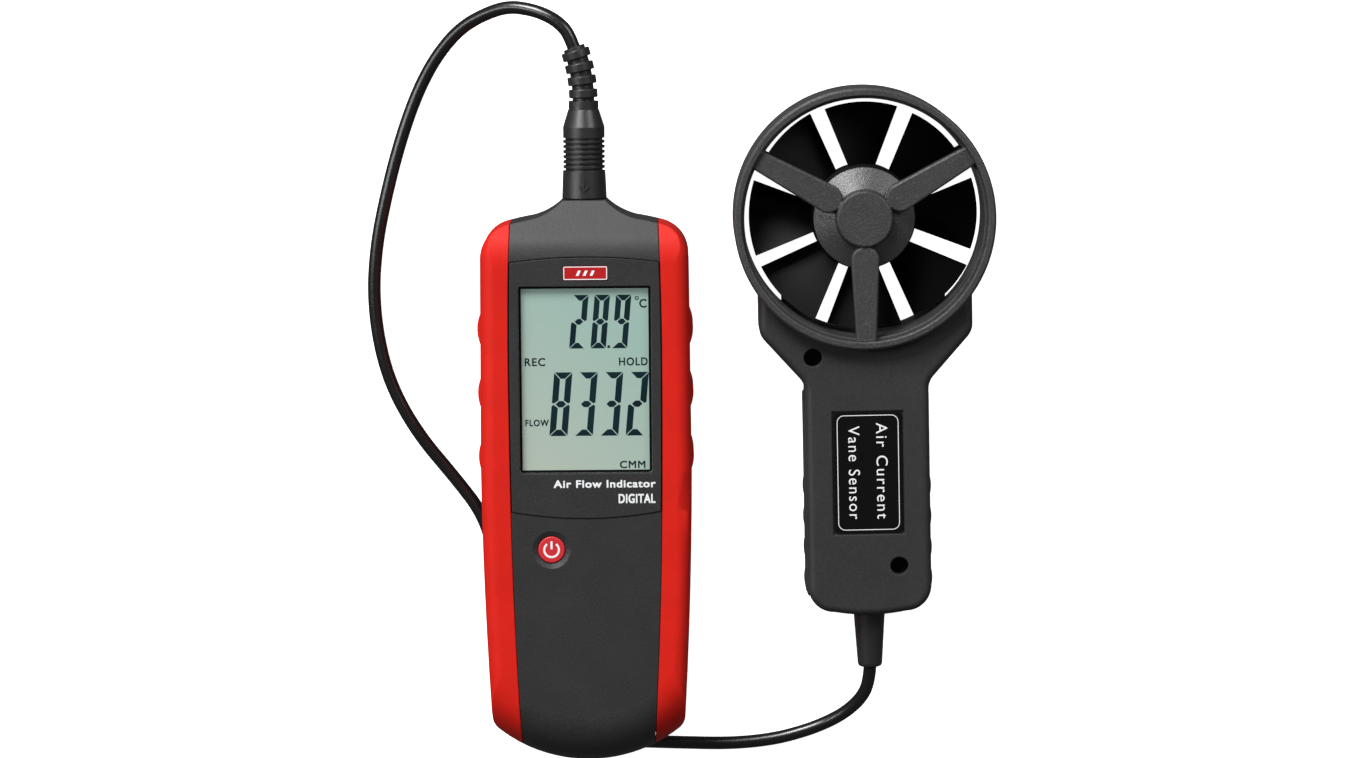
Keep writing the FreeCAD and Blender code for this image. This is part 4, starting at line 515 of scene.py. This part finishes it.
# Control points of the cord's centre line in metres, from the probe's handle to the plug
CORD_ROUTE = [
    (0.04713, -0.08763, 0.01200),
    (0.04675, -0.09380, 0.01080),
    (0.04420, -0.09990, 0.00820),
    (0.03890, -0.10540, 0.00520),
    (0.03250, -0.10940, 0.00310),
    (0.02420, -0.11280, 0.00230),
    (0.01260, -0.11580, 0.00230),
    (-0.00240, -0.11720, 0.00230),
    (-0.01990, -0.11670, 0.00230),
    (-0.03800, -0.11600, 0.00230),
    (-0.05560, -0.11540, 0.00230),
    (-0.06960, -0.11240, 0.00230),
    (-0.08030, -0.10360, 0.00230),
    (-0.08440, -0.08800, 0.00230),
    (-0.08470, -0.07030, 0.00230),
    (-0.08580, -0.05030, 0.00230),
    (-0.08990, -0.03380, 0.00230),
    (-0.10040, -0.01980, 0.00230),
    (-0.11240, -0.00530, 0.00230),
    (-0.12170, 0.01120, 0.00230),
    (-0.12640, 0.02770, 0.00230),
    (-0.12820, 0.04620, 0.00230),
    (-0.12660, 0.06420, 0.00230),
    (-0.12300, 0.08070, 0.00230),
    (-0.11900, 0.09570, 0.00230),
    (-0.11460, 0.10900, 0.00240),
    (-0.10970, 0.12060, 0.00320),
    (-0.10370, 0.13060, 0.00520),
    (-0.09620, 0.13910, 0.00820),
    (-0.08790, 0.14410, 0.01180),
    (-0.07880, 0.14720, 0.01590),
    (-0.07040, 0.14610, 0.01900),
    (-0.06430, 0.14380, 0.02080),
    (-0.06000, 0.14080, 0.02170),
    (-0.05734, 0.13734, 0.02200),
    (-0.05574, 0.13294, 0.02200),
]


def add_cord():
    data = bpy.data.curves.new("cord", "CURVE")
    data.dimensions = "3D"
    data.bevel_depth = CORD_RADIUS * MM
    data.bevel_resolution = 8
    data.resolution_u = 10
    data.use_fill_caps = True
    spline = data.splines.new("NURBS")
    spline.points.add(len(CORD_ROUTE) - 1)
    for point, place in zip(spline.points, CORD_ROUTE):
        point.co = (*place, 1.0)
    spline.order_u = 3
    spline.use_endpoint_u = True
    cord = add_piece("cord", data, "cord_black", "probe_set")
    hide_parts("probe_cord")


add_cord()


# ---------------------------------------------------------------- arrow moulded on the plug

PLUG_AXIS_Z = 22.0
PLUG_BASE_RADIUS = 7.8
ARROW_Y = 202.6
ARROW_SHAFT = rectangle((-0.22, 0.22), (-1.2, 2.0))
ARROW_WING = [(0, -1.9), (1.7, -0.2), (1.7, 0.4), (0, -1.3)]
ARROW_SUNK = 0.6
ARROW_PROUD = 0.16


def add_plug_arrow():
    """Raised arrow on the plug's base, which points to the jack."""
    other_wing = [(-x, y) for x, y in reversed(ARROW_WING)]
    outlines = [[(x, ARROW_Y + y) for x, y in outline]
                for outline in (ARROW_SHAFT, other_wing, ARROW_WING)]
    top = PLUG_AXIS_Z + PLUG_BASE_RADIUS
    data = prism(outlines, top - ARROW_SUNK, top + ARROW_PROUD)
    data.transform(placement(METER))
    add_piece("plug_arrow", data, "plug_black", "probe_set")


add_plug_arrow()


# ---------------------------------------------------------------- display

SEGMENTS = {
    "2": "abged",
    "3": "abgcd",
    "8": "abcdefg",
    "9": "abcdfg",
}
SLANT = math.tan(math.radians(5.0))
SMALL_DIGITS = dict(low=147.2, width=5.3, height=18.6, thick=1.95)
SMALL_PLACES = (("2", -5.5), ("8", 1.9), ("9", 9.3))
DECIMAL_POINT = [(7.75, 147.3), (8.65, 147.3), (8.72, 148.2), (7.82, 148.2)]
LARGE_DIGITS = dict(low=116.7, width=6.3, height=22.2, thick=2.2)
LARGE_PLACES = (("8", -12.7), ("3", -3.9), ("3", 4.95), ("2", 13.8))
DISPLAY_WORDS = (
    ("display_degree", "C", (19.0, 21.4), (161.3, 164.2)),
    ("display_rec", "REC", (-20.9, -13.9), (141.2, 143.9)),
    ("display_hold", "HOLD", (11.8, 21.6), (141.2, 143.9)),
    ("display_flow", "FLOW", (-20.9, -12.9), (120.2, 122.4)),
    ("display_unit", "CMM", (11.8, 20.5), (105.3, 107.8)),
)
DEGREE_PLACE = (18.1, 164.6)
DEGREE_RADIUS = 0.55
DEGREE_LINE = 0.32
# Near-black line round the display glass's edge: the dark wall of the window's recess, with
# painted shade along it
EDGE_SHADE_X = (-22.5, 22.5)
EDGE_SHADE_Y = (104.3, 168.5)
EDGE_SHADE_LINE = 0.9
EDGE_SHADE_CORNER = 0.5


def digit(figure, left, low, width, height, thick):
    """Outlines of a seven-segment figure with mitred bars, leaning to the right."""
    gap = 0.10 * thick
    middle = height / 2
    half = thick / 2
    inner = width - thick
    tip_rise = 0.35 * half
    tip_inset = 0.30 * thick
    top_bar = [
        (gap, height),
        (width - gap, height),
        (inner - gap, height - thick),
        (thick + gap, height - thick),
    ]
    upper_right = [
        (width, height - gap),
        (width, middle + tip_rise + gap),
        (width - tip_inset, middle + gap),
        (inner, middle + half + gap),
        (inner, height - thick - gap),
    ]
    centre_bar = [
        (half + gap, middle),
        (thick + gap, middle + half),
        (inner - gap, middle + half),
        (width - half - gap, middle),
        (inner - gap, middle - half),
        (thick + gap, middle - half),
    ]

    def across(points):
        return [(width - x, y) for x, y in points]

    def upside_down(points):
        return [(x, height - y) for x, y in points]

    bars = {
        "a": top_bar,
        "b": upper_right,
        "c": upside_down(upper_right),
        "d": upside_down(top_bar),
        "e": across(upside_down(upper_right)),
        "f": across(upper_right),
        "g": centre_bar,
    }
    outlines = []
    for bar in SEGMENTS[figure]:
        outlines.append([(left + x + SLANT * y, low + y) for x, y in bars[bar]])
    return outlines


def reading(places, sizes):
    outlines = []
    for figure, left in places:
        outlines += digit(figure, left, **sizes)
    return outlines


def add_display():
    printed("display_reading", reading(SMALL_PLACES, SMALL_DIGITS) + [DECIMAL_POINT], ON_GLASS)
    printed("display_main_reading", reading(LARGE_PLACES, LARGE_DIGITS), ON_GLASS)
    for name, words, x_range, y_range in DISPLAY_WORDS:
        lettering(name, words, x_range, y_range, ON_GLASS, bold=0.14, spacing=1.15)
    ring = arc_band(DEGREE_RADIUS, DEGREE_LINE, (0, 360), steps=24, centre=DEGREE_PLACE)
    printed("display_degree_ring", ring, ON_GLASS)
    # Dark line at the glass's edge: the recess wall's dark edge and painted shade along it
    edge_shade = frame_outlines(EDGE_SHADE_X, EDGE_SHADE_Y, EDGE_SHADE_LINE, EDGE_SHADE_CORNER)
    printed("display_edge_shade", edge_shade, ON_GLASS_EDGE)


add_display()


# ---------------------------------------------------------------- print on the meter

BEZEL_WORDS = (
    ("title", "Air Flow Indicator", (-11.2, 24.0), (98.9, 101.4)),
    ("subtitle", "DIGITAL", (11.3, 23.9), (93.4, 96.5)),
)
BADGE_X = 0.4
BADGE_Y = 173.6
BADGE_HALF_WIDTH = 7.4
BADGE_HALF_HEIGHT = 2.15
BADGE_LINE = 0.3
BADGE_CORNER = 0.3
BAR_STEP = 2.4
BAR_HALF_WIDTH = 0.5
BAR_HALF_HEIGHT = 0.9
BAR_LEAN = 0.4
BUTTON_X = -12.3
BUTTON_Y = 77.0
SYMBOL_RADIUS = 2.55
SYMBOL_LINE = 0.72
SYMBOL_ARC = (128, 412)
SYMBOL_STROKE = (0.2, 3.0)


def badge_bar(x):
    """Outline of one short bar of the badge's plain pattern, leaning to the right."""
    low_x = x - BAR_LEAN
    high_x = x + BAR_LEAN
    low_y = BADGE_Y - BAR_HALF_HEIGHT
    high_y = BADGE_Y + BAR_HALF_HEIGHT
    return [(low_x - BAR_HALF_WIDTH, low_y), (low_x + BAR_HALF_WIDTH, low_y),
            (high_x + BAR_HALF_WIDTH, high_y), (high_x - BAR_HALF_WIDTH, high_y)]


def add_bezel_print():
    for name, words, x_range, y_range in BEZEL_WORDS:
        lettering(name, words, x_range, y_range, ON_BEZEL, bold=0.22, spacing=1.1)


def add_badge_print():
    x_range = (BADGE_X - BADGE_HALF_WIDTH, BADGE_X + BADGE_HALF_WIDTH)
    y_range = (BADGE_Y - BADGE_HALF_HEIGHT, BADGE_Y + BADGE_HALF_HEIGHT)
    border = frame_outlines(x_range, y_range, BADGE_LINE, BADGE_CORNER, steps=2)
    printed("badge_border", border, ON_BADGE)
    bars = [badge_bar(BADGE_X + BAR_STEP * number) for number in (-1, 0, 1)]
    printed("badge_bars", bars, ON_BADGE)


def add_power_symbol():
    """Open ring with a short stroke in its gap."""
    button = (BUTTON_X, BUTTON_Y)
    symbol = arc_band(SYMBOL_RADIUS, SYMBOL_LINE, SYMBOL_ARC, steps=30, centre=button)
    half = SYMBOL_LINE / 2
    stroke_y = (BUTTON_Y + SYMBOL_STROKE[0], BUTTON_Y + SYMBOL_STROKE[1])
    symbol.append(rectangle((BUTTON_X - half, BUTTON_X + half), stroke_y))
    printed("power_symbol", symbol, ON_BUTTON)


add_bezel_print()
add_badge_print()
add_power_symbol()


# ---------------------------------------------------------------- print on the probe

LABEL_X = (-10.7, 10.7)
LABEL_Y = (-109.8, -69.3)
LABEL_LINE = 0.26
LABEL_CORNER = 2.4
LABEL_WORDS = (
    ("label_line_one", "Air Current", (2.9, 6.9), (-106.0, -72.0)),
    ("label_line_two", "Vane Sensor", (-6.9, -2.9), (-106.0, -73.0)),
)


def add_label_print():
    border = frame_outlines(LABEL_X, LABEL_Y, LABEL_LINE, LABEL_CORNER)
    printed("label_border", border, ON_LABEL)
    for name, words, x_range, y_range in LABEL_WORDS:
        lettering(name, words, x_range, y_range, ON_LABEL, spacing=1.2, turn_deg=-90)


add_label_print()


# ---------------------------------------------------------------- studio

FLOOR_REACH = 3.0
FLOOR_DROP = 0.00005
WORLD_STRENGTH = 0.09

# Soft lights: place, size and power. Each points at the origin.
LIGHTS = {
    "key_light": ((-1.4, 2.9, 2.2), (1.6, 1.6), 200.0),
    "side_light": ((-1.5, 0.4, 1.3), (0.4, 1.4), 13.0),
    "fill_light": ((1.8, 1.6, 1.9), (1.2, 1.2), 26.0),
}


def add_floor():
    """Glowing pale floor, left out of reflections and bounced light."""
    reach = (-FLOOR_REACH, FLOOR_REACH)
    data = bpy.data.meshes.new("floor")
    data.from_pydata([(x, y, 0) for x, y in rectangle(reach, reach)], [], [(0, 1, 2, 3)])
    floor = bpy.data.objects.new("floor", data)
    floor.location.z = -FLOOR_DROP
    scene.collection.objects.link(floor)
    material, tree, output = new_material("floor_white")
    shader = tree.nodes.new("ShaderNodeBsdfPrincipled")
    shader.inputs["Base Color"].default_value = (0.9, 0.9, 0.9, 1)
    shader.inputs["Roughness"].default_value = 0.8
    shader.inputs["Emission Color"].default_value = (1, 1, 1, 1)
    shader.inputs["Emission Strength"].default_value = 1.0
    tree.links.new(shader.outputs["BSDF"], output.inputs["Surface"])
    data.materials.append(material)
    floor.visible_glossy = False
    floor.visible_diffuse = False


def add_soft_light(name, place, size, power):
    data = bpy.data.lights.new(name, "AREA")
    data.shape = "RECTANGLE"
    data.size = size[0]
    data.size_y = size[1]
    data.energy = power
    light = bpy.data.objects.new(name, data)
    light.location = place
    towards_origin = -Vector(place)
    light.rotation_euler = towards_origin.to_track_quat("-Z", "Y").to_euler()
    scene.collection.objects.link(light)


def add_studio():
    world = bpy.data.worlds.new("studio")
    world.use_nodes = True
    background = world.node_tree.nodes["Background"]
    background.inputs["Color"].default_value = (1.0, 1.0, 1.0, 1)
    background.inputs["Strength"].default_value = WORLD_STRENGTH
    scene.world = world
    add_floor()
    for name, (place, size, power) in LIGHTS.items():
        add_soft_light(name, place, size, power)
    scene.view_settings.view_transform = "Standard"


add_studio()
